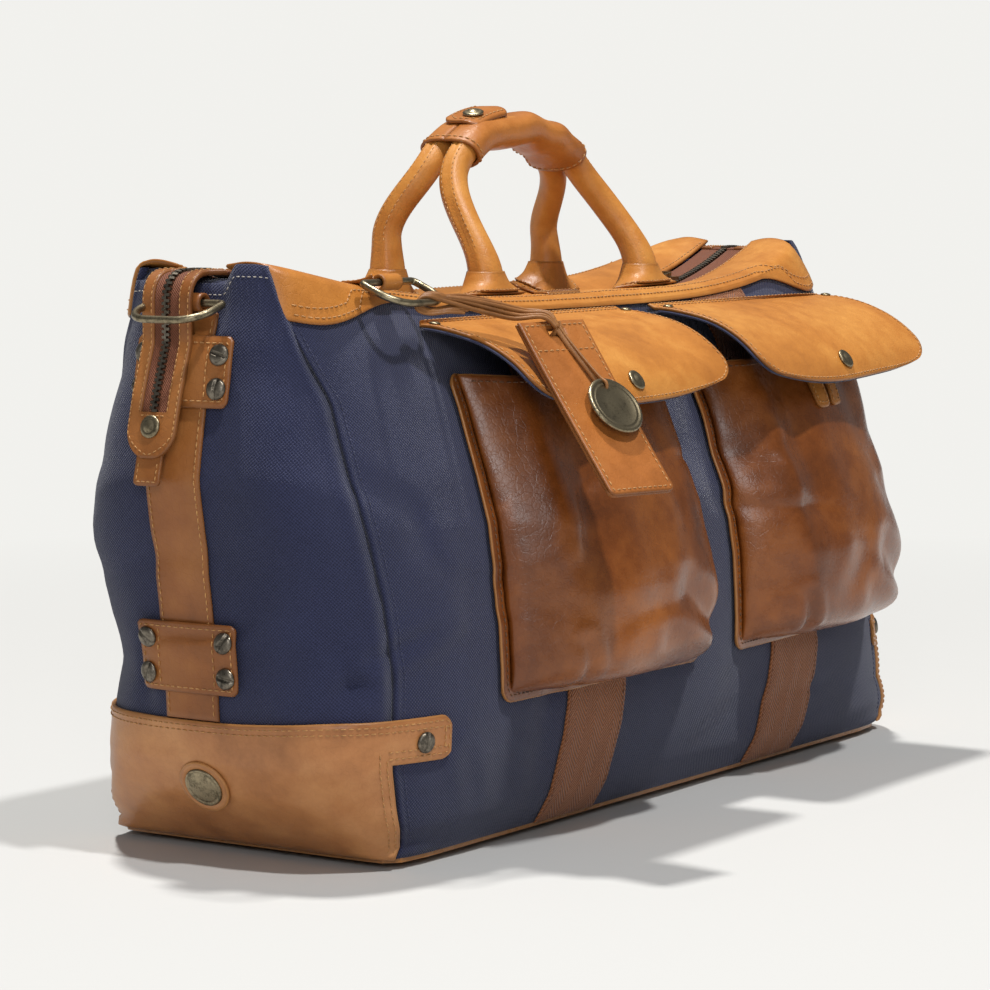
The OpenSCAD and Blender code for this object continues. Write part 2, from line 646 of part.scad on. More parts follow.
base_panel();
base_board();
feet();
front_panel();
rear_panel();
gusset_left();
gusset_right();
lining();
yoke_front();
yoke_rear();
zip_tape_front();
zip_tape_rear();
zip_teeth();
zip_slider();
zip_pull();
zip_tail_left();
zip_tail_right();
zip_snap_left();
zip_snap_right();
boot_left();
boot_right();
badge_left();
badge_right();
webbing_front_left();
webbing_front_right();
webbing_rear_left();
webbing_rear_right();
end_strap_left();
end_strap_right();
ring_plate_left();
ring_plate_right();
lower_plate_left();
lower_plate_right();
end_studs();
boot_studs();
d_ring_left();
d_ring_right();
pocket_left();
pocket_right();
pocket_tabs();
flap_left();
flap_right();
flap_lining_left();
flap_lining_right();
flap_snap_left();
flap_snap_right();
handle_roots();
handle_patches();
handle_front();
handle_rear();
handle_cores();
handle_wrap();
wrap_tongue();
wrap_snap();
front_ring();
ring_keeper();
tag_laces();
tag();
medallion();
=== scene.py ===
# Weekender bag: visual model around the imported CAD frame. Lengths in the shape
# functions are millimetres and become metres when a mesh is made.
import numpy as np
import bpy
import bmesh
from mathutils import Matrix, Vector


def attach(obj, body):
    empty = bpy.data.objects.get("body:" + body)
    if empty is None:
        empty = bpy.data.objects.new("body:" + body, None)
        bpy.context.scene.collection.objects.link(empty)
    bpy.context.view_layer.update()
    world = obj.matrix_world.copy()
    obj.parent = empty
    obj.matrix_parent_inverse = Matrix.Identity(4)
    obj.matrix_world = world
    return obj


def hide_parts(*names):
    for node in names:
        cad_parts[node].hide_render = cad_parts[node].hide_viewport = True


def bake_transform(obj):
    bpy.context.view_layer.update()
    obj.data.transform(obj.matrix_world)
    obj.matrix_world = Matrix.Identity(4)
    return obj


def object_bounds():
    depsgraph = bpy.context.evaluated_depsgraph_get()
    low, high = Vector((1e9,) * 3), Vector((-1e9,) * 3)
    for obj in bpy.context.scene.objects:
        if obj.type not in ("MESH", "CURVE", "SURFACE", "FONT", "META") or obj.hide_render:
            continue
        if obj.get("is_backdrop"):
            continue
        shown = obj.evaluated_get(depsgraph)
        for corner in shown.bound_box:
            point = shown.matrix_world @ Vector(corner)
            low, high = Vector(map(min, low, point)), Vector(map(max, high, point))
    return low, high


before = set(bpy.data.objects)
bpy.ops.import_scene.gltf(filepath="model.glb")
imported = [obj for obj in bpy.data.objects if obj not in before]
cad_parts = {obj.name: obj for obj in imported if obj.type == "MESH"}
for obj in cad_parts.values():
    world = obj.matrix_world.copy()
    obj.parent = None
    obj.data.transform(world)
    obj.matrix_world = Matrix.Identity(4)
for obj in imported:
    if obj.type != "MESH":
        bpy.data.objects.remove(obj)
cad_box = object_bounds()
MM = 0.001
NO_EDGE = 30.0  # distance in mm given to points that no border is near
rad = np.radians

# ------------------------------------------------------------------ numbers
BASE_L, BASE_W, FOLD_H, CREST, CANVAS_T, LEATHER_T = 292.0, 101.0, 307.0, 29.0, 1.6, 2.2
LEFT = ([4, 12, 25, 40, 60, 80, 110, 150, 190, 215, 250, 280, 307],
        [0, 7, 20, 35, 46, 51, 53, 58, 65, 68, 60, 50, 46])
RIGHT = (LEFT[0], [0, 18, 23, 25, 26, 24, 20, 16, 11, 7, 0, -14, -34])
FRONT = (LEFT[0], [0, 5, 13, 18, 23, 26, 27, 25, 18, 9, -4, -19, -39])
REAR = (LEFT[0], [0, 5, 12, 14, 14, 14, 14, 12, 7, -1, -11, -23, -39])
SQUARE_L = ([4, 12, 25, 40, 60, 80, 110, 250, 280, 307], [24, 10, 8, 6, 5.5, 5, 4.5, 4.5, 5, 7])
SQUARE_R = ([4, 12, 25, 40, 60, 80, 110, 215, 250, 280, 307],
            [24, 10, 7, 5, 4.2, 3.8, 3.5, 3.4, 3.6, 4.5, 7])
SEAM = ([4, 210, 250, 283, 307], [44, 43, 41, 35.5, 34])
ZIP_EDGE, YOKE_GAP = 17.0, 0.9
LOOP_Z, LOOP_R = 317.0, 4.8
POCKET_W, POCKET_LOW, POCKET_TOP, POCKET_DEPTH = 212.0, 88.0, 268.0, 42.0
POCKET_X = {"left": -118.0, "right": 142.0}
FLAP_W, FLAP_L, FLAP_H, HINGE_Y = 220.0, 98.0, 300.0, -73.0
HANDLE_CX, HANDLE_HALF, HANDLE_RISE, HANDLE_R = -14.0, 90.0, 91.0, 8.7
ROOT_Z, ROOT_Y, GRIP_Y = 322.0, 36.0, 6.0
WRAP_X, WRAP_L = -18.0, 116.0


# ------------------------------------------------------------------ shape of the body
def smooth(t):
    u = np.clip(t, 0, 1)
    return u * u * (3 - 2 * u)


def mix(a, b, t):
    return a + (b - a) * t


def half_x(h, left):
    return BASE_L + np.where(left, np.interp(h, *LEFT), np.interp(h, *RIGHT))


def half_y(h, front):
    return BASE_W + np.where(front, np.interp(h, *FRONT), np.interp(h, *REAR))


def square_at(h, left, front):
    """How square the corners are; the rear left one is rounder low down."""
    rounder = 1.4 * smooth((190 - h) / 80) * smooth((h - 4) / 30)
    return np.where(left, np.interp(h, *SQUARE_L) - np.where(front, 0, rounder), np.interp(h, *SQUARE_R))


def along(x):
    return np.abs(x) / half_x(FOLD_H, x < 0)


def lift(x):
    return CREST * np.minimum(1, along(x)) ** 3


def at_z(h, x):
    return h + lift(x) * smooth((h - 180) / 127)


def level(z):
    h = z
    for _ in range(6):
        h = z - CREST * smooth((h - 180) / 127)
    return h


LATTICE = np.random.default_rng(11).random((24, 24, 24)) * 2 - 1


def noise(x, y, z, sx, sy=None, sz=None):
    p = np.stack(np.broadcast_arrays(x / sx, y / (sy or sx), z / (sz or sx)), -1) + 96.0
    i = np.floor(p).astype(int)
    f = p - i
    f = f * f * (3 - 2 * f)
    total = 0
    for a in (0, 1):
        for b in (0, 1):
            for c in (0, 1):
                w = (f[..., 0] if a else 1 - f[..., 0]) * (f[..., 1] if b else 1 - f[..., 1])
                w = w * (f[..., 2] if c else 1 - f[..., 2])
                total = total + w * LATTICE[(i[..., 0] + a) % 24, (i[..., 1] + b) % 24,
                                            (i[..., 2] + c) % 24]
    return total


# Soft folds of the canvas: two ends (x, y, h), width and depth.
FOLDS = [((-318, -96, 262), (-262, -118, 236), 6, 2.6), ((-322, -70, 296), (-333, -20, 262), 6, 2.2),
         ((-318, -104, 122), (-262, -128, 138), 5, 3.0), ((-322, -98, 108), (-330, -60, 92), 6, 2.4),
         ((-335, -60, 205), (-344, 10, 226), 8, 1.9), ((-300, -128, 180), (-262, -126, 166), 6, 2.2),
         ((-290, -120, 215), (-248, -118, 222), 6, 1.8), ((-250, -128, 60), (-235, -124, 30), 7, 1.8),
         ((250, -115, 120), (285, -105, 150), 8, 2.4), ((-240, 112, 240), (-120, 112, 205), 9, 2.6),
         ((60, 112, 250), (190, 110, 215), 9, 2.6), ((-60, 115, 90), (70, 115, 70), 10, 2.0),
         ((290, 30, 210), (296, -40, 180), 9, 2.4), ((200, 110, 80), (270, 100, 120), 8, 2.2)]


def relief(x, y, h):
    x, y, h = np.broadcast_arrays(x, y, h)
    d = 1.9 * noise(x, y, h, 115, 95, 85) + 0.8 * noise(x, y, h, 50, 44, 30)
    ridge = 1 - np.abs(noise(x + 31, y, h + 17, 95, 60, 42))
    d = d - 1.7 * smooth((ridge - 0.66) / 0.34)
    p = np.stack([x, y, h], -1)
    for a, b, w, depth in FOLDS:
        a, b = np.array(a, float), np.array(b, float)
        t = np.clip(((p - a) @ (b - a)) / ((b - a) @ (b - a)), 0, 1)
        q = p - (a + t[..., None] * (b - a))
        r = np.sqrt((q ** 2).sum(-1))
        d = d - depth * np.exp(-(r / w) ** 2) + 0.5 * depth * np.exp(-((r - 1.9 * w) / w) ** 2)
    return d * smooth((h - 8) / 45) * smooth((304 - h) / 45)


def body_at(t, h, off=0.0, plain=False):
    t, h, off = np.broadcast_arrays(np.asarray(t, float), np.asarray(h, float), off)
    c, s = np.cos(rad(t)), np.sin(rad(t))
    left = c < 0
    a, b, n = half_x(h, left), half_y(h, s < 0), square_at(h, left, s < 0)
    r = (np.abs(c) ** n + np.abs(s) ** n) ** (-1 / n)
    d = off + (0 if plain else relief(a * r * c, b * r * s, h))
    return np.stack([(a + d) * r * c, (b + d) * r * s, at_z(h, a * r * c)], -1)


def face_at(x, h, off=0.0, s=-1, plain=False):
    x, h, off = np.broadcast_arrays(np.asarray(x, float), np.asarray(h, float), off)
    left = x < 0
    u, n = np.minimum(0.999, np.abs(x) / half_x(h, left)), square_at(h, left, s < 0)
    y = half_y(h, s < 0) * (1 - u ** n) ** (1 / n)
    y = y + off + (0 if plain else relief(x, s * y, h))
    return np.stack([x, s * y, at_z(h, x)], -1)


def end_at(y, h, off=0.0, s=-1, plain=False):
    y, h, off = np.broadcast_arrays(np.asarray(y, float), np.asarray(h, float), off)
    n = square_at(h, s < 0, y < 0)
    u = np.minimum(0.999, np.abs(y) / half_y(h, y < 0))
    x = half_x(h, s < 0) * (1 - u ** n) ** (1 / n)
    d = off + (0 if plain else relief(s * x, y, h))
    return np.stack([s * (x + d), y, at_z(h, s * x)], -1)


def seam(h):
    return np.interp(h, *SEAM)


def zip_z(x):
    return 298 + (CREST + 9) * np.minimum(1, along(x)) ** 3


def ear(x):
    return 2.5 + 21.5 * smooth((along(x) - 0.7) / 0.26)


def yoke_at(x, w, off, s):
    x, w, off = np.broadcast_arrays(np.asarray(x, float), np.asarray(w, float), off)
    low = face_at(x, FOLD_H + np.minimum(w, 0) * ear(x), off, s)
    f = face_at(x, FOLD_H, 0, s)
    wp = np.clip(w, 0, 1)
    rise = 7 * np.sin(np.pi * wp ** 0.8) * (1 - 0.7 * along(x))
    y = mix(f[..., 1] + s * off * (1 - smooth(wp / 0.12)), s * (ZIP_EDGE + 0.2), wp)
    z = mix(f[..., 2], zip_z(x), wp) + rise + off * smooth(wp / 0.12 + 0.3)
    top = np.stack([x, y, z], -1)
    return np.where((w < 0)[..., None], low + np.stack([0 * x, 0 * x, off * 0.35 * (1 + w)], -1), top)


def on_top(x, y, off):
    """Point on the upper side of a yoke at x, y."""
    x, y, off = np.broadcast_arrays(np.asarray(x, float), np.asarray(y, float), off)
    out = np.zeros(x.shape + (3,))
    for s in (-1, 1):
        f = np.abs(face_at(x, FOLD_H, 0, s)[..., 1])
        w = np.clip((f - np.abs(y)) / (f - ZIP_EDGE - 0.2), 0.001, 1)
        z = yoke_at(x, w, off, s)[..., 2]
        out = np.where(((y < 0) == (s < 0))[..., None], np.stack([x, y, z], -1), out)
    return out


# ------------------------------------------------------------------ mesh building
def span(a, b, step, rim=0.6):
    """Values from a to b about step apart, with one more close to each end."""
    n = max(2, int(round(abs(b - a) / step)))
    v = np.linspace(a, b, n + 1)
    e = rim * np.sign(b - a)
    return np.unique(np.concatenate([v,
                                     [a + e, b - e]])) if b > a else np.concatenate([[a, a + e], v[1:-1],
                                                                                     [b - e, b]])


def rounded(u, v, u0, u1, v0, v1, r):
    """Pulls the corners of the rectangle u0..u1, v0..v1 into arcs of radius r by moving v."""
    du = np.minimum(u - u0, u1 - u)
    k = np.clip(1 - du / r, 0, 1)
    cut = r * (1 - np.sqrt(1 - k * k))
    vc, vh = (v0 + v1) / 2, (v1 - v0) / 2
    return vc + (v - vc) * (vh - cut) / vh


def skin(f, us, vs, low, high, mask=None, bevel=0.32, edge=True):
    """Closed shell of the surface f(u, v, offset) between two offsets, with rounded borders."""
    us, vs = np.asarray(us, float), np.asarray(vs, float)
    U, V = np.meshgrid(us, vs, indexing="ij")
    if mask is None:
        cells = np.ones((len(us) - 1, len(vs) - 1), bool)
    else:
        cells = mask((U[1:, 1:] + U[:-1, :-1]) / 2, (V[1:, 1:] + V[:-1, :-1]) / 2)
    pad = np.pad(cells, 1)
    four = np.stack([pad[:-1, :-1], pad[1:, :-1], pad[:-1, 1:], pad[1:, 1:]])
    used, rim = four.any(0), four.any(0) & ~four.all(0)
    t = high - low
    out = f(U, V, high - bevel * t * rim)
    inn = f(U, V, low + bevel * t * rim)
    n, m = U.shape
    idx = -np.ones((n, m), int)
    idx[used] = np.arange(used.sum())
    k = used.sum()
    i, j = np.nonzero(cells)
    quad = np.stack([idx[i, j], idx[i + 1, j], idx[i + 1, j + 1], idx[i, j + 1]], 1)
    faces = [quad, quad[:, ::-1] + k]
    for di, dj, a, b in ((-1, 0, (0, 0), (0, 1)), (1, 0, (1, 1), (1, 0)), (0, -1, (1, 0), (0, 0)),
                         (0, 1, (0, 1), (1, 1))):
        o = ~pad[i + 1 + di, j + 1 + dj]
        p, q = idx[i[o] + a[0], j[o] + a[1]], idx[i[o] + b[0], j[o] + b[1]]
        faces.append(np.stack([p, q, q + k, p + k], 1))
    verts = np.concatenate([out[used], inn[used]])
    du = np.zeros((n, m))
    dv = np.zeros((n, m))
    du[1:] = np.cumsum(np.linalg.norm(np.diff(out, axis=0), axis=-1), 0)
    dv[:, 1:] = np.cumsum(np.linalg.norm(np.diff(out, axis=1), axis=-1), 1)
    du -= du[n // 2][None]
    dv -= dv[:, m // 2][:, None]
    cloth = np.stack([du, dv, 0 * du], -1)[used] * MM
    dist = np.full(k, NO_EDGE)
    if edge:
        border, pts = out[rim], out[used]
        for a in range(0, k, 4000):
            d = pts[a:a + 4000, None] - border[None]
            dist[a:a + 4000] = np.sqrt((d * d).sum(-1).min(1))
    return dict(v=verts, f=faces, cloth=np.concatenate([cloth, cloth]),
                edge=np.concatenate([dist, dist]))


def tube_faces(n, m):
    """Walls and two end fans of a tube of n rings of m points; the last two points are the caps' middles."""
    i, j = np.meshgrid(np.arange(n - 1), np.arange(m), indexing="ij")
    i, j = i.ravel(), j.ravel()
    walls = np.stack([i * m + j, (i + 1) * m + j, (i + 1) * m + (j + 1) % m, i * m + (j + 1) % m], 1)
    k = np.arange(m)
    return [walls, np.stack([k, (k + 1) % m, 0 * k + n * m], 1),
            np.stack([(n - 1) * m + (k + 1) % m, (n - 1) * m + k, 0 * k + n * m + 1], 1)]


def tube(path, section):
    """Tube along path. section holds (across, up) offsets for each point of the path and each angle round
    it.
    """
    path = np.asarray(path, float)
    n = len(path)
    d = np.gradient(path, axis=0)
    d /= np.linalg.norm(d, axis=1)[:, None]
    up = np.array([0, 1, 0.0]) if abs(d[:, 1]).max() < 0.9 else np.array([0, 0, 1.0])
    a = np.cross(d, up)
    a /= np.linalg.norm(a, axis=1)[:, None]
    b = np.cross(d, a)
    m = section.shape[1]
    ring = path[:, None] + section[..., 0:1] * a[:, None] + section[..., 1:2] * b[:, None]
    verts = ring.reshape(-1, 3)
    s = np.concatenate([[0], np.cumsum(np.linalg.norm(np.diff(path, axis=0), axis=1))])
    girth = 2 * np.pi * np.sqrt((section ** 2).sum(-1)).mean()
    cloth = np.stack(np.broadcast_arrays(s[:, None], np.arange(m)[None] * girth / m, 0.0),
                     -1).reshape(-1, 3) * MM
    verts = np.concatenate([verts, ring[[0, -1]].mean(1)])
    cloth = np.concatenate([cloth, cloth[[0, -1]]])
    return dict(v=verts, f=tube_faces(n, m), cloth=cloth, edge=np.full(len(verts), NO_EDGE))


def lathe(profile, m=40, slot=None):
    """Turned shape about Z from (radius, height) pairs; slot lowers the points near a line across it."""
    profile = np.asarray(profile, float)
    g = np.linspace(0, 2 * np.pi, m, endpoint=False)
    ring = np.stack([profile[:, 0:1] * np.cos(g), profile[:, 0:1] * np.sin(g),
                     np.broadcast_to(profile[:, 1:2], (len(profile), m))], -1)
    n = len(profile)
    i, j = np.meshgrid(np.arange(n - 1), np.arange(m), indexing="ij")
    i, j = i.ravel(), j.ravel()
    q = np.stack([i * m + j, i * m + (j + 1) % m, (i + 1) * m + (j + 1) % m, (i + 1) * m + j], 1)
    verts = np.concatenate([ring.reshape(-1, 3), [[0, 0, profile[0, 1]], [0, 0, profile[-1, 1]]]])
    if slot:
        half, depth, turn = slot
        y = verts[:, 1] * np.cos(turn) - verts[:, 0] * np.sin(turn)
        top = verts[:, 2] > profile[:, 1].max() * 0.45
        verts[:, 2] -= depth * smooth((half + 0.35 - np.abs(y)) / 0.35) * top
    jj = np.arange(m)
    faces = [q, np.stack([(jj + 1) % m, jj, 0 * jj + n * m], 1),
             np.stack([(n - 1) * m + jj, (n - 1) * m + (jj + 1) % m, 0 * jj + n * m + 1], 1)]
    r = np.concatenate([np.repeat(profile[:, 0], m), [0, 0]])
    return dict(v=verts, f=faces, cloth=verts * MM, edge=profile[:, 0].max() - r)


def unit(v):
    v = np.asarray(v, float)
    return v / np.linalg.norm(v, axis=-1, keepdims=True)


def placed(chunk, origin, up, side=(0, 0, 1)):
    """chunk with its Z along up and its X near side, moved to origin."""
    z = unit(up)
    x = unit(np.asarray(side, float) - np.dot(side, z) * z)
    y = np.cross(z, x)
    new = dict(chunk)
    new["v"] = np.asarray(origin, float) + chunk["v"] @ np.stack([x, y, z])
    return new


def surface_frame(f, u, v, off):
    """Point and normal of the surface function f."""
    at = f(u + np.array([0, 1.0, -1, 0, 0, 0]), v + np.array([0, 0, 0, 1.0, -1, 0]),
           off + np.array([0, 0, 0, 0, 0, 1.0]))
    p, q = at[0], at[5]
    n = unit(np.cross(at[1] - at[2], at[3] - at[4]))
    return p, n if np.dot(n, q - p) > 0 else -n


def join(chunks):
    base, verts, faces, cloth, edge = 0, [], [], [], []
    for c in chunks:
        verts.append(c["v"])
        faces += [x + base for x in c["f"]]
        cloth.append(c["cloth"])
        edge.append(c["edge"])
        base += len(c["v"])
    return dict(v=np.concatenate(verts), f=faces, cloth=np.concatenate(cloth), edge=np.concatenate(edge))


def piece(name, chunks, material, body=None, stands_for=(), blend=None, flat=False):
    c = join(chunks if isinstance(chunks, list) else [chunks])
    loops = np.concatenate([x.ravel() for x in c["f"]])
    sizes = np.concatenate([np.full(len(x), x.shape[1]) for x in c["f"]])
    me = bpy.data.meshes.new(name)
    me.vertices.add(len(c["v"]))
    me.vertices.foreach_set("co", (c["v"] * MM).astype(np.float32).ravel())
    me.loops.add(len(loops))
    me.loops.foreach_set("vertex_index", loops.astype(np.int32))
    me.polygons.add(len(sizes))
    me.polygons.foreach_set("loop_start", np.concatenate([[0], np.cumsum(sizes)[:-1]]).astype(np.int32))
    me.polygons.foreach_set("loop_total", sizes.astype(np.int32))
    me.update(calc_edges=True)
    me.validate()
    bm = bmesh.new()
    bm.from_mesh(me)
    bmesh.ops.recalc_face_normals(bm, faces=bm.faces)
    bm.to_mesh(me)
    bm.free()
    if len(me.vertices) == len(c["v"]):
        me.attributes.new("cloth", "FLOAT_VECTOR", "POINT").data.foreach_set(
            "vector", c["cloth"].astype(np.float32).ravel())
        me.attributes.new("edge", "FLOAT", "POINT").data.foreach_set("value", c["edge"].astype(np.float32))
    me.polygons.foreach_set("use_smooth", np.full(len(me.polygons), not flat))
    me.materials.append(material)
    ob = bpy.data.objects.new(name, me)
    bpy.context.scene.collection.objects.link(ob)
    if blend:
        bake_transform(ob)
    else:
        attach(ob, body)
    if stands_for:
        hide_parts(*([stands_for] if isinstance(stands_for, str) else stands_for))
    return ob


# ------------------------------------------------------------------ stitches
# Pitch, length and radius of stitches smaller than sew()'s own.
FINE, SMALL = (3.4, 2.6, 0.36), (3.6, 2.7, 0.36)
THREADS = {}


def sew(where, f, points, off, pitch=4.2, length=3.3, r=0.42, closed=False):
    """A row of stitches along a line given by (u, v) points of the surface f. where names the group."""
    pts = np.asarray(points, float)
    if closed:
        pts = np.concatenate([pts, pts[:1]])
    fine = np.concatenate([np.linspace(pts[i], pts[i + 1], 60, endpoint=False)
                           for i in range(len(pts) - 1)] + [pts[-1:]])
    p = f(fine[:, 0], fine[:, 1], off + 0 * fine[:, 0])
    s = np.concatenate([[0], np.cumsum(np.linalg.norm(np.diff(p, axis=0), axis=1))])
    keep = np.concatenate([[True], np.diff(s) > 1e-6])
    p, s, fine = p[keep], s[keep], fine[keep]
    count = int(s[-1] / pitch)
    if count < 1:
        return
    at = (np.arange(count) + 0.5) * s[-1] / count
    mid = np.stack([np.interp(at, s, p[:, k]) for k in range(3)], 1)
    a = np.stack([np.interp(at - length / 2, s, p[:, k]) for k in range(3)], 1)
    b = np.stack([np.interp(at + length / 2, s, p[:, k]) for k in range(3)], 1)
    uv = np.stack([np.interp(at, s, fine[:, k]) for k in range(2)], 1)
    o = off + 0 * uv[:, 0]
    normal = unit(f(uv[:, 0], uv[:, 1], o + 1) - f(uv[:, 0], uv[:, 1], o))
    THREADS.setdefault(where, []).append((mid, a, b, normal, np.full(count, r)))


def thread_chunk(rows):
    mid, a, b, normal, r = (np.concatenate(x) for x in zip(*rows))
    t = unit(b - a)
    side = unit(np.cross(normal, t))
    normal = np.cross(t, side)
    half = np.linalg.norm(b - a, axis=1) / 2
    stations = [(-1.0, 0.0), (-0.72, 0.8), (0.0, 1.0), (0.72, 0.8), (1.0, 0.0)]
    k, m = len(mid), 6
    verts = []
    for x, w in stations:
        c = mid + t * (x * half)[:, None] + normal * (r * (0.55 - 0.75 * x * x))[:, None]
        if w == 0:
            verts.append(c[:, None])
        else:
            g = np.linspace(0, 2 * np.pi, m, endpoint=False)
            ring = c[:, None] + (w * r)[:, None, None] * (side[:, None] * np.cos(g)[None, :, None]
                                                          + normal[:, None] * np.sin(g)[None, :, None])
            verts.append(ring)
    v = np.concatenate(verts, 1)
    per = v.shape[1]
    j = np.arange(m)
    tri = [np.stack([0 * j, 1 + (j + 1) % m, 1 + j], 1),
           np.stack([0 * j + per - 1, 1 + 2 * m + j, 1 + 2 * m + (j + 1) % m], 1)]
    quads = np.concatenate([np.stack([1 + q * m + j, 1 + q * m + (j + 1) % m, 1 + (q + 1) * m + (j + 1) % m,
                                      1 + (q + 1) * m + j], 1) for q in range(2)])
    shift = (np.arange(k) * per)[:, None, None]
    faces = [(x[None] + shift).reshape(-1, x.shape[1]) for x in tri + [quads]]
    flatv = v.reshape(-1, 3)
    return dict(v=flatv, f=faces, cloth=flatv * MM, edge=np.full(len(flatv), NO_EDGE))


# ------------------------------------------------------------------ materials
def material(name):
    m = bpy.data.materials.new(name)
    m.use_nodes = True
    t = m.node_tree
    t.nodes.clear()
    out = t.nodes.new("ShaderNodeOutputMaterial")
    bsdf = t.nodes.new("ShaderNodeBsdfPrincipled")
    t.links.new(bsdf.outputs[0], out.inputs[0])
    return m, t, bsdf


def node(t, kind, inputs=None, **props):
    n = t.nodes.new("ShaderNode" + kind)
    for k, v in props.items():
        setattr(n, k, v)
    for k, v in (inputs or {}).items():
        if isinstance(v, bpy.types.NodeSocket):
            t.links.new(v, n.inputs[k])
        else:
            n.inputs[k].default_value = v
    return n


def calc(t, op, a, b=None):
    n = t.nodes.new("ShaderNodeMath")
    n.operation = op
    for i, v in enumerate((a, b)):
        if v is None:
            continue
        if isinstance(v, bpy.types.NodeSocket):
            t.links.new(v, n.inputs[i])
        else:
            n.inputs[i].default_value = v
    return n.outputs[0]


def mul(t, a, b):
    return calc(t, "MULTIPLY", a, b)


def add(t, a, b):
    return calc(t, "ADD", a, b)


def ramp(t, fac, stops):
    n = t.nodes.new("ShaderNodeValToRGB")
    e = n.color_ramp.elements
    while len(e) < len(stops):
        e.new(0.5)
    for el, (pos, col) in zip(e, stops):
        el.position = pos
        el.color = (*col, 1)
    t.links.new(fac, n.inputs[0])
    return n.outputs[0]


def remap(t, v, a, b):
    return node(t, "MapRange", {0: v, 1: a, 2: b, 3: 0.0, 4: 1.0}).outputs[0]


def blend_colour(t, fac, a, b, mode="MIX"):
    n = t.nodes.new("ShaderNodeMix")
    n.data_type = "RGBA"
    n.blend_type = mode
    for k, v in ((0, fac), (6, a), (7, b)):
        if isinstance(v, bpy.types.NodeSocket):
            t.links.new(v, n.inputs[k])
        else:
            n.inputs[k].default_value = v if k == 0 else (*v, 1)
    return n.outputs[2]


def spot_noise(t, vec, scale, detail=3.0, rough=0.5, distort=0.0):
    return node(t, "TexNoise", {"Vector": vec, "Scale": scale, "Detail": detail, "Roughness": rough,
                                "Distortion": distort}).outputs[0]


def bump(t, bsdf, height, distance, strength=1.0, chain=None):
    n = node(t, "Bump", {"Strength": strength, "Distance": distance, "Height": height})
    if chain is not None:
        t.links.new(chain, n.inputs["Normal"])
    t.links.new(n.outputs[0], bsdf.inputs["Normal"])
    return n.outputs[0]


def object_vector(t):
    return t.nodes.new("ShaderNodeTexCoord").outputs["Object"]


def attribute(t, name, out):
    return node(t, "Attribute", attribute_name=name).outputs[out]


def leather(name, deep, mid, light, gloss=0.42, edge_dark=0.45, pull=0.5, grain=0.00022, coat=0.10,
            raw=None):
    m, t, b = material(name)
    v = object_vector(t)
    big = spot_noise(t, v, 11, 3, 0.55, 0.6)
    small = spot_noise(t, v, 75, 6, 0.65)
    both = add(t, mul(t, big, 0.68), mul(t, small, 0.32))
    col = ramp(t, remap(t, both, 0.25, 0.75), [(0.0, deep), (0.45, mid), (1.0, light)])
    edge = attribute(t, "edge", "Fac")
    burn = mul(t, remap(t, edge, 2.2, 0.0), edge_dark)
    soft = mul(t, remap(t, edge, 16.0, 3.0), edge_dark * 0.4)
    col = blend_colour(t, burn, col, tuple(0.30 * x for x in deep))
    if raw:
        col = blend_colour(t, mul(t, remap(t, edge, 1.5, 0.7), 0.8), col, raw)
    col = blend_colour(t, soft, col, deep)
    pores = node(t, "TexVoronoi", {"Vector": v, "Scale": 900.0, "Randomness": 1.0},
                 distance="EUCLIDEAN").outputs[0]
    veins = node(t, "TexVoronoi", {"Vector": node(t, "VectorMath", {0: v, 1: (1.0, 1.0, 1.0)}).outputs[0],
                                   "Scale": 230.0}, feature="DISTANCE_TO_EDGE").outputs[0]
    crackle = remap(t, veins, 0.0, 0.10)
    wrinkle = spot_noise(t, v, 170, 5, 0.6, 1.2)
    col = blend_colour(t, mul(t, calc(t, "SUBTRACT", 1.0, crackle), 0.05), col,
                       tuple(0.45 * x for x in deep))
    t.links.new(col, b.inputs["Base Color"])
    rough = add(t, mul(t, remap(t, small, 0.3, 0.7), 0.16), gloss - 0.08)
    t.links.new(rough, b.inputs["Roughness"])
    b.inputs["Specular IOR Level"].default_value = 0.32
    b.inputs["Coat Weight"].default_value = coat
    b.inputs["Coat Roughness"].default_value = 0.32
    h = add(t, mul(t, pores, 0.35), mul(t, crackle, 0.45))
    first = bump(t, b, h, grain, 0.5)
    folds = add(t, mul(t, wrinkle, pull), mul(t, spot_noise(t, v, 48, 3, 0.5, 0.8), 0.9))
    bump(t, b, folds, 0.0011, 0.32, first)
    return m


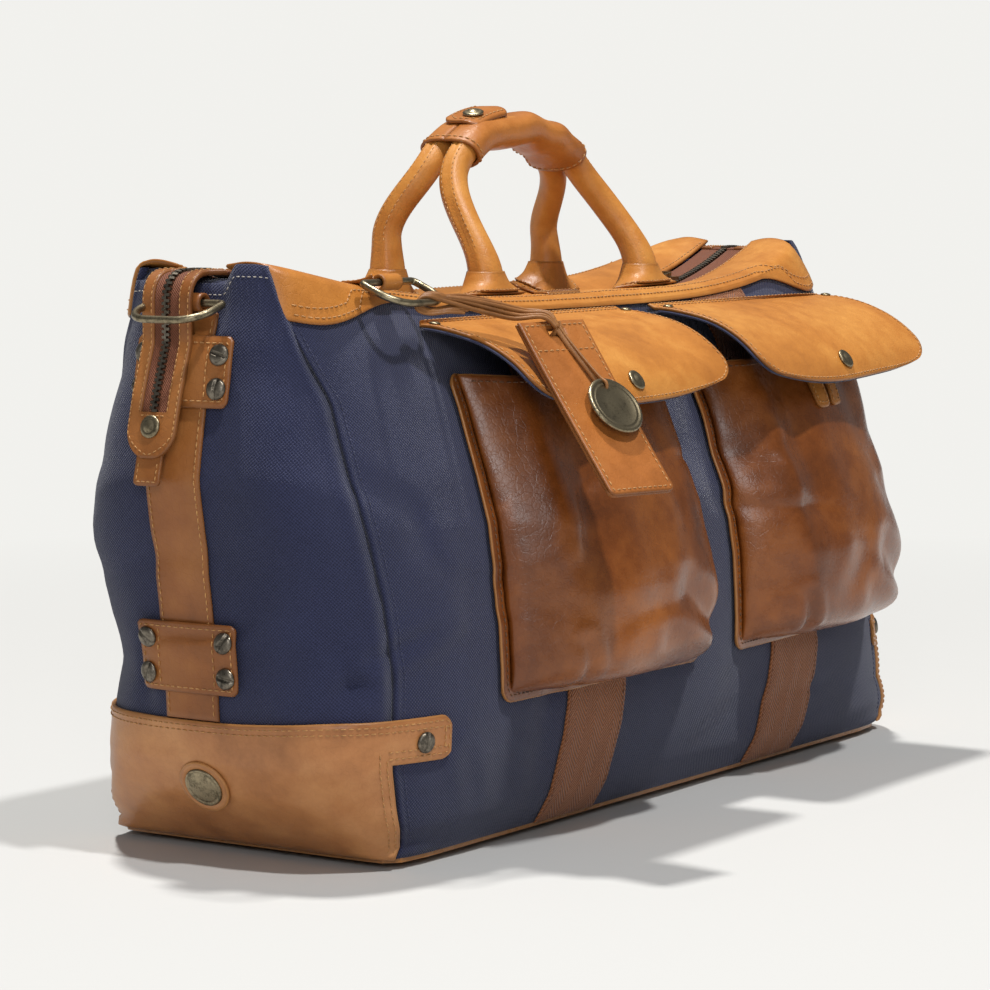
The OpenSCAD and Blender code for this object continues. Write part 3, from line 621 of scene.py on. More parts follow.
def woven(name, dark, light, pitch, kind="plain", rough=0.82, sheen=0.2, height=0.00035):
    m, t, b = material(name)
    cloth = attribute(t, "cloth", "Vector")
    wob = node(t, "TexNoise", {"Vector": cloth, "Scale": 60.0, "Detail": 2.0}).outputs[1]
    shift = node(t, "VectorMath", {0: wob, 1: (0.0012, 0.0012, 0.0)}, operation="MULTIPLY").outputs[0]
    moved = node(t, "VectorMath", {0: cloth, 1: shift}, operation="ADD").outputs[0]
    sep = node(t, "SeparateXYZ", {0: moved})
    u, v = sep.outputs[0], sep.outputs[1]
    tau = 2 * np.pi
    if kind == "plain":
        a = calc(t, "SINE", mul(t, u, tau / pitch))
        c = calc(t, "SINE", mul(t, v, tau / pitch))
        h = remap(t, mul(t, a, c), -1.0, 1.0)
    elif kind == "herringbone":
        zig = calc(t, "PINGPONG", u, 0.0107)
        line = add(t, v, mul(t, zig, 1.15))
        h = remap(t, calc(t, "SINE", mul(t, line, tau / pitch)), -1.0, 1.0)
    else:
        line = add(t, v, u)
        h = remap(t, calc(t, "SINE", mul(t, line, tau / pitch)), -1.0, 1.0)
    yarn = spot_noise(t,
                      node(t, "VectorMath", {0: cloth, 1: (1.0, 0.12, 1.0)},
                           operation="MULTIPLY").outputs[0], 1500, 2)
    yarn2 = spot_noise(t,
                       node(t, "VectorMath", {0: cloth, 1: (0.12, 1.0, 1.0)},
                            operation="MULTIPLY").outputs[0], 1500, 2)
    broad = spot_noise(t, cloth, 22, 4, 0.6)
    fac = add(t, mul(t, h, 0.42), mul(t, add(t, yarn, yarn2), 0.24))
    fac = add(t, fac, mul(t, broad, 0.22))
    col = ramp(t, remap(t, fac, 0.2, 0.86), [(0.0, dark), (1.0, light)])
    t.links.new(col, b.inputs["Base Color"])
    b.inputs["Roughness"].default_value = rough
    b.inputs["Specular IOR Level"].default_value = 0.25
    b.inputs["Sheen Weight"].default_value = sheen
    b.inputs["Sheen Roughness"].default_value = 0.5
    bump(t, b, add(t, h, mul(t, add(t, yarn, yarn2), 0.35)), height, 0.8)
    return m


def metal(name, bright, dark, rough=0.34):
    m, t, b = material(name)
    v = object_vector(t)
    a = spot_noise(t, v, 160, 6, 0.7)
    c = spot_noise(t, v, 900, 3, 0.6)
    fac = remap(t, add(t, mul(t, a, 0.7), mul(t, c, 0.3)), 0.35, 0.66)
    t.links.new(ramp(t, fac, [(0.0, dark), (0.55, bright), (1.0, tuple(min(1, 1.25 * x) for x in bright))]),
                b.inputs["Base Color"])
    b.inputs["Metallic"].default_value = 1.0
    t.links.new(add(t, rough - 0.08, mul(t, calc(t, "SUBTRACT", 1.0, fac), 0.25)), b.inputs["Roughness"])
    bump(t, b, c, 0.0001, 0.35)
    return m


def thread(name, dark, light):
    m, t, b = material(name)
    v = object_vector(t)
    col = ramp(t, spot_noise(t, v, 700, 3), [(0.3, dark), (0.7, light)])
    t.links.new(col, b.inputs["Base Color"])
    b.inputs["Roughness"].default_value = 0.7
    b.inputs["Sheen Weight"].default_value = 0.15
    bump(t, b, node(t, "TexWave", {"Vector": v, "Scale": 500.0, "Distortion": 2.0}).outputs[1], 0.0001, 0.4)
    return m


def plain(name, dark, light, scale, rough, grain=0.0003):
    m, t, b = material(name)
    v = object_vector(t)
    n = spot_noise(t, v, scale, 5, 0.6)
    t.links.new(ramp(t, n, [(0.3, dark), (0.7, light)]), b.inputs["Base Color"])
    t.links.new(add(t, rough - 0.08, mul(t, n, 0.16)), b.inputs["Roughness"])
    bump(t, b, spot_noise(t, v, scale * 9, 3), grain, 0.4)
    return m


CANVAS = woven("canvas_navy", (0.005, 0.006, 0.021), (0.032, 0.038, 0.098), 0.0021, height=0.0005)
LINING = woven("lining_navy", (0.008, 0.010, 0.034), (0.026, 0.031, 0.085), 0.0012, rough=0.7)
WEBBING = woven("webbing_brown", (0.115, 0.036, 0.012), (0.36, 0.125, 0.038), 0.0030, "herringbone", 0.75,
                0.2, 0.0006)
TAPE = woven("zip_tape", (0.085, 0.026, 0.012), (0.24, 0.080, 0.036), 0.0016, "twill", 0.75, 0.1)
TAN = leather("leather_golden", (0.30, 0.098, 0.016), (0.49, 0.185, 0.032), (0.68, 0.32, 0.070), 0.44,
              edge_dark=0.6)
WRAP = leather("leather_wrap", (0.20, 0.055, 0.010), (0.40, 0.135, 0.024), (0.54, 0.215, 0.048), 0.42,
               pull=1.2)
CHESTNUT = leather("leather_chestnut", (0.062, 0.016, 0.004), (0.185, 0.050, 0.008), (0.38, 0.120, 0.020),
                   0.28,
                   edge_dark=0.55, coat=0.40, raw=(0.50, 0.215, 0.055))
BOOT = leather("leather_boot", (0.20, 0.066, 0.016), (0.45, 0.185, 0.062), (0.66, 0.33, 0.130), 0.42,
               coat=0.2,
               raw=(0.55, 0.25, 0.075))
STRAP = leather("leather_strap", (0.15, 0.048, 0.011), (0.29, 0.100, 0.024), (0.42, 0.17, 0.046), 0.42)
TAGTAN = leather("leather_tag", (0.20, 0.062, 0.012), (0.38, 0.125, 0.025), (0.52, 0.20, 0.045), 0.46)
LACE = leather("leather_lace", (0.10, 0.038, 0.011), (0.26, 0.105, 0.028), (0.42, 0.19, 0.060), 0.5)
BRASS = metal("old_brass", (0.30, 0.25, 0.16), (0.075, 0.062, 0.040))
DARKMETAL = metal("dark_metal", (0.19, 0.165, 0.13), (0.040, 0.036, 0.030), 0.36)
THREAD_TAN = thread("thread_tan", (0.30, 0.13, 0.035), (0.58, 0.30, 0.095))
THREAD_DARK = thread("thread_dark", (0.060, 0.022, 0.008), (0.17, 0.070, 0.022))
THREAD_CREAM = thread("thread_cream", (0.30, 0.27, 0.24), (0.50, 0.46, 0.40))
FOOT = plain("foot_dark", (0.012, 0.011, 0.010), (0.035, 0.032, 0.030), 120, 0.45)
BOARD = plain("board_grey", (0.12, 0.10, 0.08), (0.20, 0.17, 0.14), 60, 0.8)
CORE = plain("core_rope", (0.35, 0.28, 0.19), (0.55, 0.46, 0.34), 300, 0.85)

# ------------------------------------------------------------------ canvas body
PANELS = {
    # name: (start angle, end angle, mm of canvas per radian)
    "front_panel": (lambda h: 180 + seam(h), lambda h: 360 - seam(h), 700),
    "rear_panel": (lambda h: seam(h), lambda h: 180 - seam(h), 700),
    "gusset_left": (lambda h: 180 - seam(h), lambda h: 180 + seam(h), 240),
    "gusset_right": (lambda h: -seam(h), lambda h: seam(h), 240),
}


def panel_function(a, b, speed):
    def f(u, h, off):
        t0, t1 = a(h), b(h)
        d = np.minimum(u, 1 - u) * (t1 - t0) * rad(1) * speed
        groove = -2.0 * np.exp(-(d / 2.4) ** 2) + 1.0 * np.exp(-((d - 6.5) / 3.4) ** 2)
        pucker = 0.35 * np.sin(h / 4.6 + 2 * np.sin(h / 23)) * np.exp(-(d / 7) ** 2)
        return body_at(t0 + u * (t1 - t0), h, off + (groove + pucker) * smooth((h - 5) / 12))
    return f


GUSSET_TOP, REAR_LEFT_TOP, UNDER_TAIL, GUSSET_H = 310, 300, 299, 298


def gusset_top(y, left):
    """Height of a gusset's upper edge: lower under the zip's tail."""
    corner = np.where(left & (y > 0), REAR_LEFT_TOP, GUSSET_TOP)
    return mix(UNDER_TAIL, corner, smooth((np.abs(y) - 19) / 9))


def gusset_rise(f, left):
    """Lets the gusset f reach its upper edge."""
    def g(u, h, off):
        p = f(u, h, off)
        rise = (gusset_top(p[..., 1], left) - GUSSET_H) * smooth((h - 262) / 36)
        return p + np.stack([0 * rise, 0 * rise, rise], -1)
    return g


for name, (a, b, speed) in PANELS.items():
    f = panel_function(a, b, speed)
    wide = name.endswith("panel")
    fine = np.array([0, 0.001, 0.003, 0.006, 0.010, 0.014, 0.019, 0.025, 0.033])
    us = np.concatenate([fine, np.linspace(0.04, 0.96, 150 if wide else 64), 1 - fine[::-1]])
    hs = span(6.4, FOLD_H if wide else GUSSET_H, 4.2, 0.5)
    if not wide:
        f = gusset_rise(f, name == "gusset_left")
    piece(name, skin(f, us, hs, -CANVAS_T, 0, edge=False), CANVAS, "bag", name)
    # Top stitch beside the seams on the front and rear panels.
    if wide:
        for u in (0.016, 0.984):
            sew("seam_thread:bag:navy", f, [(u, h) for h in np.linspace(12, 300, 30)], 0.1, 3.6, 2.6, 0.33)
    else:
        sew("hem_thread:bag:cream", f, [(u, 292.5) for u in np.linspace(0.02, 0.98, 40)], 0.1, 3.4, 2.3,
            0.33)

# The ends close over between the gusset's top edge and the yokes and zip.
for s, name in ((-1, "end_turn_in_left"), (1, "end_turn_in_right")):
    def turn_in(u, w, off, s=s):
        out = end_at(u, 306.0, -0.9, s, True)
        out[..., 2] = at_z(298.0, out[..., 0]) + gusset_top(u, s < 0) - 298 - 0.4
        xi = s * (half_x(FOLD_H, s < 0) * 0.972 - 2)
        inner = np.where((np.abs(u) < 17.5)[..., None],
                         np.stack([xi + 0 * u, u, zip_z(xi) - 2.0 + 0 * u], -1),
                         on_top(xi + 0 * u, np.sign(u + 1e-6) * np.maximum(np.abs(u), 17.6) * 0.96,
                                YOKE_GAP - 0.5))
        p = mix(out, inner, w[..., None])
        return p + np.stack([0 * u, 0 * u, off + 0.8 * np.sin(np.pi * w)], -1)
    piece(name, skin(turn_in, np.linspace(-52, 52, 60), np.linspace(0, 1, 8), -1.2, 0, edge=False), CANVAS,
          "bag")


def lining_f(u, h, off):
    return body_at(u, h, off)


piece("lining", skin(lining_f, np.linspace(0, 360, 160), np.linspace(13, 296, 40), -4.0, -3.2, edge=False),
      LINING, "bag", "lining")

# ------------------------------------------------------------------ yokes, zip tapes and teeth
YX = (-0.990 * 338, 0.990 * 258)
for s, tag in ((-1, "front"), (1, "rear")):
    def f(x, w, off, s=s):
        return yoke_at(x, w, off + YOKE_GAP + 0.35 * noise(x, w * 40, s * 50.0 + 0 * x, 30, 14, 30), s)
    ws = np.concatenate([[-1, -0.97, -0.9, -0.75, -0.5, -0.25, -0.1], np.linspace(0, 1, 26), [0.985]])
    piece("yoke_" + tag, skin(f, span(*YX, 4.5), np.unique(ws), 0, LEATHER_T), TAN, "bag", "yoke_" + tag)
    xs = np.linspace(YX[0] + 5, YX[1] - 5, 60)
    for k in (0, 1):
        inset = 3.2 + 4.5 * k
        sew("yoke_thread:bag:tan", f,
            [(x, -1 + inset / ear(x) if ear(x) > 12 + 4 * k else (inset - ear(x)) / 46 + 0.02) for x in xs],
            LEATHER_T + 0.1)
    sew("yoke_thread:bag:tan", f, [(x, 0.93) for x in xs], LEATHER_T + 0.1)

    def tape(x, y, off, s=s):
        return np.stack([x, s * y, zip_z(x) + off], -1)
    piece("zip_tape_" + tag,
          skin(tape, span(-331, 251, 6), [3.2, 3.7, 6, 10, 14, 16.5, 17], -1, 0.6, edge=False),
          TAPE, "bag", "zip_tape_" + tag)

TOOTH = np.array([[-0.9, 0, -0.9], [0.9, 0, -0.9], [0.9, 3.4, -0.9], [-0.9, 3.4, -0.9],
                  [-0.8, 0.1, 1.0], [0.8, 0.1, 1.0], [0.8, 3.3, 0.6], [-0.8, 3.3, 0.6]])
TOOTH_F = np.array([[0, 3, 2, 1], [4, 5, 6, 7], [0, 1, 5, 4], [1, 2, 6, 5], [2, 3, 7, 6], [3, 0, 4, 7]])


def teeth(points, directions, ups):
    """Two rows of teeth along a line; the rows reach past the middle and alternate."""
    verts, n = [], len(points)
    for i in range(n):
        s = 1 if i % 2 else -1
        t, z = directions[i], ups[i]
        y = np.cross(z, t)
        local = TOOTH * [1, s, 1] + [0, -0.7 * s, 0.6]
        verts.append(points[i] + local @ np.stack([t, y, z]))
    v = np.concatenate(verts)
    f = (TOOTH_F[None] + (np.arange(n) * 8)[:, None, None]).reshape(-1, 4)
    return dict(v=v, f=[f], cloth=v * MM, edge=np.full(len(v), NO_EDGE))


xs = np.arange(-330, 250, 1.55)
pts = np.stack([xs, 0 * xs, zip_z(xs) + 0.3], -1)
tan_ = unit(np.gradient(pts, axis=0))
piece("zip_teeth", teeth(pts, tan_, np.stack([-tan_[:, 2], 0 * xs, tan_[:, 0]], -1)), DARKMETAL, "bag",
      "zip_teeth",
      flat=True)

# ------------------------------------------------------------------ zip tails
SNAP_PROFILE = [(0.2, 0), (5.9, 0), (6.5, 0.5), (6.5, 1.1), (6.0, 1.6), (4.4, 2.2), (4.0, 2.05), (3.5, 2.2),
                (2.2, 2.9), (0.9, 3.15), (0.2, 3.2)]
for s, tag in ((-1, "left"), (1, "right")):
    left = s < 0
    x0, z0 = float(half_x(FOLD_H, left)) - 5, float(zip_z(s * (float(half_x(FOLD_H, left)) - 12))) + 1.5
    loop_x = float(half_x(level(LOOP_Z - LOOP_R), left)) + LOOP_R + 0.6
    rx = loop_x + 7.2 - x0
    a = rad(np.arange(90, -1, -3))
    zs = np.arange(304, 230.9, -2.0)
    hang = np.array([float(half_x(level(z), left)) + 8.5 + (300 - z) * 0.08 for z in zs])
    path = np.concatenate([np.stack([x0 + rx * np.maximum(np.cos(a), 0) ** 0.7,
                                     z0 - 20 + 20 * np.maximum(np.sin(a), 0) ** 0.7], 1),
                           np.stack([np.maximum(x0 + rx, hang), zs], 1)])
    path = np.concatenate([[[x0 - 7, z0 - 0.3]], path])
    ps = np.concatenate([[0], np.cumsum(np.linalg.norm(np.diff(path, axis=0), axis=1))])
    total = ps[-1]
    side = unit(np.stack([-np.gradient(path[:, 1], ps), np.gradient(path[:, 0], ps)], 1))
    lean = 9.0 if left else 0.0

    def tail_f(u, d, off, s=s, path=path, ps=ps, side=side, total=total, lean=lean):
        x, z = np.interp(d, ps, path[:, 0]), np.interp(d, ps, path[:, 1])
        nx, nz = np.interp(d, ps, side[:, 0]), np.interp(d, ps, side[:, 1])
        half = np.where(d > total - 17, 17 * np.sqrt(np.clip(1 - ((d - total + 17) / 17.5) ** 2, 0.03, 1)),
                        17.0)
        y = np.clip(u, -1, 1) * half + lean * smooth(d / 16)
        return np.stack([s * (x + off * nx), y, z + off * nz], -1)
    tape_end = total - 26
    us = np.unique(np.concatenate([span(-1, 1, 0.09, 0.04), [-0.5, -0.46, 0.46, 0.5]]))
    ds = np.unique(np.concatenate([span(0, total, 2.0, 0.5), [tape_end, tape_end + 0.5]]))
    start = (s * (x0 - 4) * MM, 0, (z0 + 2) * MM)
    end = (s * (x0 + rx) * MM, 0, (z0 - 18) * MM)
    bl = ("bag", "tail_" + tag, start, end)
    piece("zip_tail_" + tag, skin(tail_f, us, ds, -1.5, 1.6,
                                  mask=lambda u, d, e=tape_end: (np.abs(u) > 0.5) | (d > e)),
          STRAP, stands_for="zip_tail_" + tag, blend=bl)
    piece("zip_tail_tape_" + tag,
          skin(tail_f, np.linspace(-0.54, 0.54, 14), span(0, tape_end + 3, 2.0), -0.9, 0.5, edge=False),
          TAPE, blend=bl)
    d = np.arange(1, tape_end, 1.55)
    p = tail_f(0 * d, d, 0.7)
    t_ = unit(np.gradient(p, axis=0))
    n_ = unit(tail_f(0 * d, d, 1.7) - p)
    piece("zip_tail_teeth_" + tag, teeth(p, t_, n_), DARKMETAL, blend=bl, flat=True)
    for uu in (-0.92, -0.58, 0.58, 0.92):
        sew("tail_%s_thread:tail_%s:tan" % (tag, tag), tail_f,
            [(uu, dd) for dd in np.linspace(2, (total - 12) if abs(uu) > 0.8 else tape_end, 30)], 1.65,
            *FINE)
    sew("tail_%s_thread:tail_%s:tan" % (tag, tag), tail_f,
        [(uu, tape_end + 2.2) for uu in np.linspace(-0.5, 0.5, 6)], 1.65, *FINE)
    sew("tail_%s_thread:tail_%s:tan" % (tag, tag), tail_f,
        [(0.9 * np.cos(g), total - 15 + 13 * np.sin(g)) for g in np.linspace(0.2, np.pi - 0.2, 16)], 1.65,
        *FINE)
    snap_d = float(np.interp(-249, -path[:, 1][5:], ps[5:]))
    p = tail_f(np.array([0.0]), np.array([snap_d]), 1.6)[0]
    q = tail_f(np.array([0.0]), np.array([snap_d]), 2.6)[0]
    back = lathe([(0.2, -5.2), (4.2, -5.2), (4.5, -4.6), (4.5, -3.4), (0.2, -3.4)], 24)
    piece("zip_snap_" + tag, [placed(lathe(SNAP_PROFILE), p, q - p), placed(back, p, q - p)], BRASS,
          "tail_" + tag,
          "zip_snap_" + tag)

    # Leather strip that the snap closes on, below the tail's end.
    def under(y, z, off, s=s, left=left, lean=lean):
        x = half_x(level(z), left) + 8.5 + (300 - z) * 0.08 - 1.4
        return np.stack([s * (x + off), y + lean, z], -1)
    piece("tail_strip_" + tag,
          skin(lambda u, v, o, under=under: under(u, rounded(u, v, -9, 9, 217, 240, 2.5), o),
                                    span(-9, 9, 1.5, 0.4), span(217, 240, 1.8, 0.4), -1.2, 0.8), STRAP,
          "tail_" + tag)
    sew("tail_%s_thread:tail_%s:tan" % (tag, tag), under,
        [(-6.5, 230), (-6.5, 219.5), (6.5, 219.5), (6.5, 230)], 0.85, *FINE)

    # ---------------------------------------------------------------- end boot
    mid = 180 if left else 0
    tab_end = 266.0

    def boot_f(u, h, off, s=s, mid=mid):
        """u within -1..1 goes round the end; beyond that it runs along the front and rear tabs."""
        inside = np.clip(u, -1, 1)
        p = body_at(mid + inside * seam(h) * (1 if s < 0 else -1), h, off)
        f_side = np.where(u < 0, 1, -1)
        e = np.clip((np.abs(u) - 1), 0, 1)
        x0 = np.abs(body_at(mid + np.sign(inside) * seam(h), h, 0, True)[..., 0])
        dist = e * (x0 - tab_end)
        from_end = (x0 - tab_end) - dist
        k = np.clip(1 - from_end / 7.0, 0, 1)
        hh = 73 + (h - 73) * (11 - 7 * (1 - np.sqrt(1 - k * k))) / 11
        hh = np.where(e > 0, np.clip(hh, 62, 90), h)
        x = s * (x0 - dist)
        pf = np.where((f_side < 0)[..., None], face_at(x, hh, off, -1), face_at(x, hh, off, 1))
        return np.where((np.abs(u) > 1)[..., None], pf, p)

    def boot_h(u, v):
        """Height of the boot's row v at u; on the left boot the front corner stands a little higher."""
        return v + (4.0 * smooth((u - 0.2) / 0.7) if left else 0) * smooth((v - 55) / 25)
    edge_u = np.array([0, 0.004, 0.012, 0.025])
    us = np.unique(np.concatenate([np.linspace(-0.97, 0.97, 70), 1 - edge_u, edge_u - 1,
                                   1 + np.concatenate([np.linspace(0.03, 0.94, 20), [0.97, 0.985, 1.0]]),
                                   -1 - np.concatenate([np.linspace(0.03, 0.94, 20), [0.97, 0.985, 1.0]])]))
    hs = np.unique(np.concatenate([span(6.3, 84, 3.6, 0.5), [61.6, 62, 62.5]]))
    piece("boot_" + tag,
          skin(lambda u, v, o, boot_f=boot_f, boot_h=boot_h: boot_f(u, boot_h(u, v), o), us, hs,
                              0.25, 0.3 + LEATHER_T, mask=lambda u, v: (np.abs(u) < 1) | (v > 62)),
          BOOT, "bag", "boot_" + tag)
    bf = lambda u, v, o, boot_f=boot_f, boot_h=boot_h: boot_f(u, boot_h(u, v), o)
    off = 0.4 + LEATHER_T
    for k in (0, 1):
        i = 3.0 + 3.2 * k
        rim = [(-1.94, 84 - i)] + [(u, 84 - i) for u in np.linspace(-1.9, 1.9, 60)] + [(1.94, 84 - i)]
        sew("boot_thread:bag:tan", bf, rim, off)
        for q in (-1, 1):
            sew("boot_thread:bag:tan", bf,
                [(q * 1.93, 84 - i), (q * 1.95, 73),
                 (q * 1.93, 62 + i)] if k == 0 else [(q * 1.86, 78), (q * 1.86, 67)], off)
            sew("boot_thread:bag:tan", bf, [(q * u, 62 + i) for u in np.linspace(1.93, 0.985, 16)], off)
            sew("boot_thread:bag:tan", bf,
                [(q * (0.985 - 0.022 * k), h) for h in np.linspace(62 + i, 10, 14)], off)

    # Round badge on the boot.
    p, n = surface_frame(lambda y, h, o, s=s: end_at(y, h, o, s), 2, 45, 0.3 + LEATHER_T)
    ring = [(0.2, 0), (16, 0), (16.6, 0.6), (16.5, 1.4), (15.6, 1.9), (12.6, 2.0), (12.0, 1.4), (0.2, 1.4)]
    disc = [(0.2, 1.2), (12.0, 1.2), (12.3, 1.7), (12.0, 2.6), (11.2, 3.0), (10.4, 2.7), (9.6, 2.65),
            (9.1, 2.9),
            (8.4, 2.95), (0.2, 3.25)]
    piece("badge_ring_" + tag, placed(lathe(ring, 56), p, n), BOOT, "bag")
    piece("badge_" + tag, placed(lathe(disc, 56), p, n), BRASS, "bag", "badge_" + tag)

    # ---------------------------------------------------------------- end strap with its loop
    ef = lambda y, h, o, s=s: end_at(y, h, o, s)

    def strap_f(y, v, off, s=s, left=left, loop_x=loop_x):
        """v is a height up to 284, then the way round the ring's bar."""
        low = end_at(y, np.minimum(v, 284), off, s)
        top = end_at(y * 0, np.full_like(v, 284.0), 0, s)
        k = np.clip((v - 284) / 30, 0, 1)
        g = np.clip((v - 314) / 22, 0, 1) * rad(250)
        cx, cz = loop_x, LOOP_Z
        r = 3.1 + off
        bx, bz = np.abs(top[..., 0]) + off, top[..., 2]
        rx_, rz_ = cx + r * np.cos(rad(180) - g), cz + r * np.sin(rad(180) - g)
        px, pz = mix(bx, cx - r, smooth(k)), mix(bz, cz, k)
        x = np.where(v <= 314, px, rx_)
        z = np.where(v <= 314, pz, rz_)
        w = mix(1.0, 0.62, smooth((v - 284) / 26))
        loop = np.stack([s * x, y * w, z], -1)
        return np.where((v <= 284)[..., None], low, loop)
    piece("end_strap_" + tag,
          skin(strap_f, span(-18.5, 18.5, 3),
               np.unique(np.concatenate([span(84.6, 284, 4), np.linspace(285, 336, 34)])),
                                   0.3, 0.3 + LEATHER_T), STRAP, "bag", "end_strap_" + tag)
    for y in (-15.8, 15.8):
        sew("strap_thread:bag:tan", ef, [(y, h) for h in np.linspace(87, 282, 40)], 0.4 + LEATHER_T)

    # ---------------------------------------------------------------- plates with studs
    STUD = [(0.2, 0), (5.7, 0), (6.1, 0.5), (6.0, 1.2), (5.4, 1.9), (4.8, 2.35), (4.2, 2.6), (3.5, 2.85),
            (2.8, 3.0),
            (2.1, 3.1), (1.5, 3.18), (0.9, 3.22), (0.3, 3.25)]
    studs = []
    for which, h0, h1 in (("ring_plate_", 245, 275), ("lower_plate_", 100, 140)):
        def plate_f(y, h, off, s=s, h0=h0, h1=h1):
            return end_at(y, rounded(y, h, -34, 34, h0, h1, 4), off + 0.25 * np.cos(y / 9), s)
        piece(which + tag, skin(plate_f, span(-34, 34, 2.4), span(h0, h1, 2.4), 3.0, 5.2), STRAP, "bag",
              which + tag)
        loop = [(-31, h0 + 3), (31, h0 + 3), (31, h1 - 3), (-31, h1 - 3)]
        sew("plate_thread:bag:tan", plate_f, loop, 5.3, closed=True)
        for k in (-1, 1):
            sew("plate_thread:bag:tan", plate_f, [(k * 19, h0 + 4), (k * 19, h1 - 4)], 5.3)
        for y in (-27, 27):
            for h in ((253, 267) if h0 > 200 else (110, 130)):
                p, n = surface_frame(ef, y, h, 5.35)
                studs.append(placed(lathe(STUD, 40, (0.75, 1.3, 0.5 + y * 0.9 + h)), p, n))
    piece("end_studs_" + tag, studs, DARKMETAL, "bag")
    tabs = []
    for f_s in (-1, 1):
        p, n = surface_frame(lambda x, h, o, f_s=f_s: face_at(x, h, o, f_s), s * 286, 74, 0.5 + LEATHER_T)
        tabs.append(placed(lathe(STUD, 40, (0.75, 1.3, 0.9 + f_s)), p, n))
    piece("boot_studs_" + tag, tabs, DARKMETAL, "bag")
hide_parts("end_studs")
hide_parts("boot_studs")

# ------------------------------------------------------------------ webbing
for x, xt in ((-123, "left"), (123, "right")):
    for s, st in ((-1, "front"), (1, "rear")):
        wf = lambda u, h, o, x=x, s=s: face_at(x + u, h, o + 0.12 * np.cos(u * 1.0), s)
        nm = "webbing_%s_%s" % (st, xt)
        piece(nm, skin(wf, span(-32, 32, 4), span(6.6, 304, 4.2), 0.2, 1.8, edge=False), WEBBING, "bag", nm)
        for k in (-1, 1):
            sew("webbing_thread:bag:brown", wf, [(k * 29.3, h) for h in np.linspace(9, 303, 50)], 1.85, 3.8,
                2.9, 0.36)


# ------------------------------------------------------------------ pockets
def pocket_function(xc, mirror):
    def f(u, v, off):
        """u is mm from the pocket's middle, v the nominal height."""
        half = POCKET_W / 2
        k = np.clip(np.abs(u) / (half - 8.5), 0, 1)
        up = np.clip((v - POCKET_LOW - 7) / 30, 0, 1)
        side = np.maximum(0, 1 - k ** 3.6) ** 0.7
        foot = np.sqrt(np.maximum(0, 1 - (1 - up) ** 3))
        deep = np.where(v < 160, POCKET_DEPTH, POCKET_DEPTH - (v - 160) * 0.13)
        bulge = deep * side * foot
        w = u * mirror
        low = smooth((170 - v) / 70)
        # Soft folds: a sag in the belly, creases from the lower corners, a dart,
        # and a ridge beside the left edge.
        give = -2.4 * np.exp(-((w + 6) / 42) ** 2) * np.exp(-((v - 205) / 34) ** 2)
        for (a, b, c, d, wd, amp) in ((97, 98, 30, 142, 10, 6.5), (70, 97, 96, 150, 9, 4.0),
                                      (52, 96, 4, 116, 8, 3.4),
                                      (-58, 93, -70, 122, 4.0, 5.0), (-92, 120, -66, 176, 10, 3.0),
                                      (34, 262, 52, 170, 15, 3.0), (-30, 268, -52, 180, 14, 2.6)):
            ab = np.array([c - a, d - b], float)
            t = np.clip(((w - a) * ab[0] + (v - b) * ab[1]) / (ab @ ab), 0, 1)
            r = np.hypot(w - a - t * ab[0], v - b - t * ab[1])
            taper = 1 - 0.6 * t
            give = give - amp * taper * np.exp(-(r / wd) ** 2)
            give = give + 0.45 * amp * taper * np.exp(-((r - 2 * wd) / wd) ** 2)
        give = give + 1.1 * noise(u + xc, v, 7.0 + 0 * u, 60, 66, 40) + 0.14 * noise(u + xc, v, 3.0 + 0 * u,
                                                                                     14, 16, 20)
        ridge = 4.6 * np.exp(-((w + 74) / 10) ** 2) * smooth((v - 112) / 50)
        ridge = ridge - 4.0 * np.exp(-((w + 46) / 14) ** 2) * smooth((v - 120) / 60)
        bulge = np.maximum(0, bulge + (give + ridge) * np.minimum(1, side * 1.4) * foot)
        p = face_at(xc + u, v, off, -1)
        # Thickness follows the slope, so the side walls don't thin out.
        p[..., 1] -= bulge
        sag = 2.2 * low * np.minimum(1, bulge / 20) * np.cos(u / half * np.pi / 2)
        p[..., 2] -= sag
        return p
    return f


def by_normal(f, du=0.8, dv=0.8):
    """The surface f with its offset taken along the normal."""
    def g(u, v, off):
        p = f(u, v, 2.3)
        a = f(u + du, v, 2.3) - f(u - du, v, 2.3)
        b = f(u, v + dv, 2.3) - f(u, v - dv, 2.3)
        n = np.cross(a, b)
        n = n / np.maximum(1e-6, np.linalg.norm(n, axis=-1, keepdims=True))
        n = n * np.sign(-n[..., 1:2] + 1e-9)
        return p + n * np.asarray(off - 2.3)[..., None]
    return g


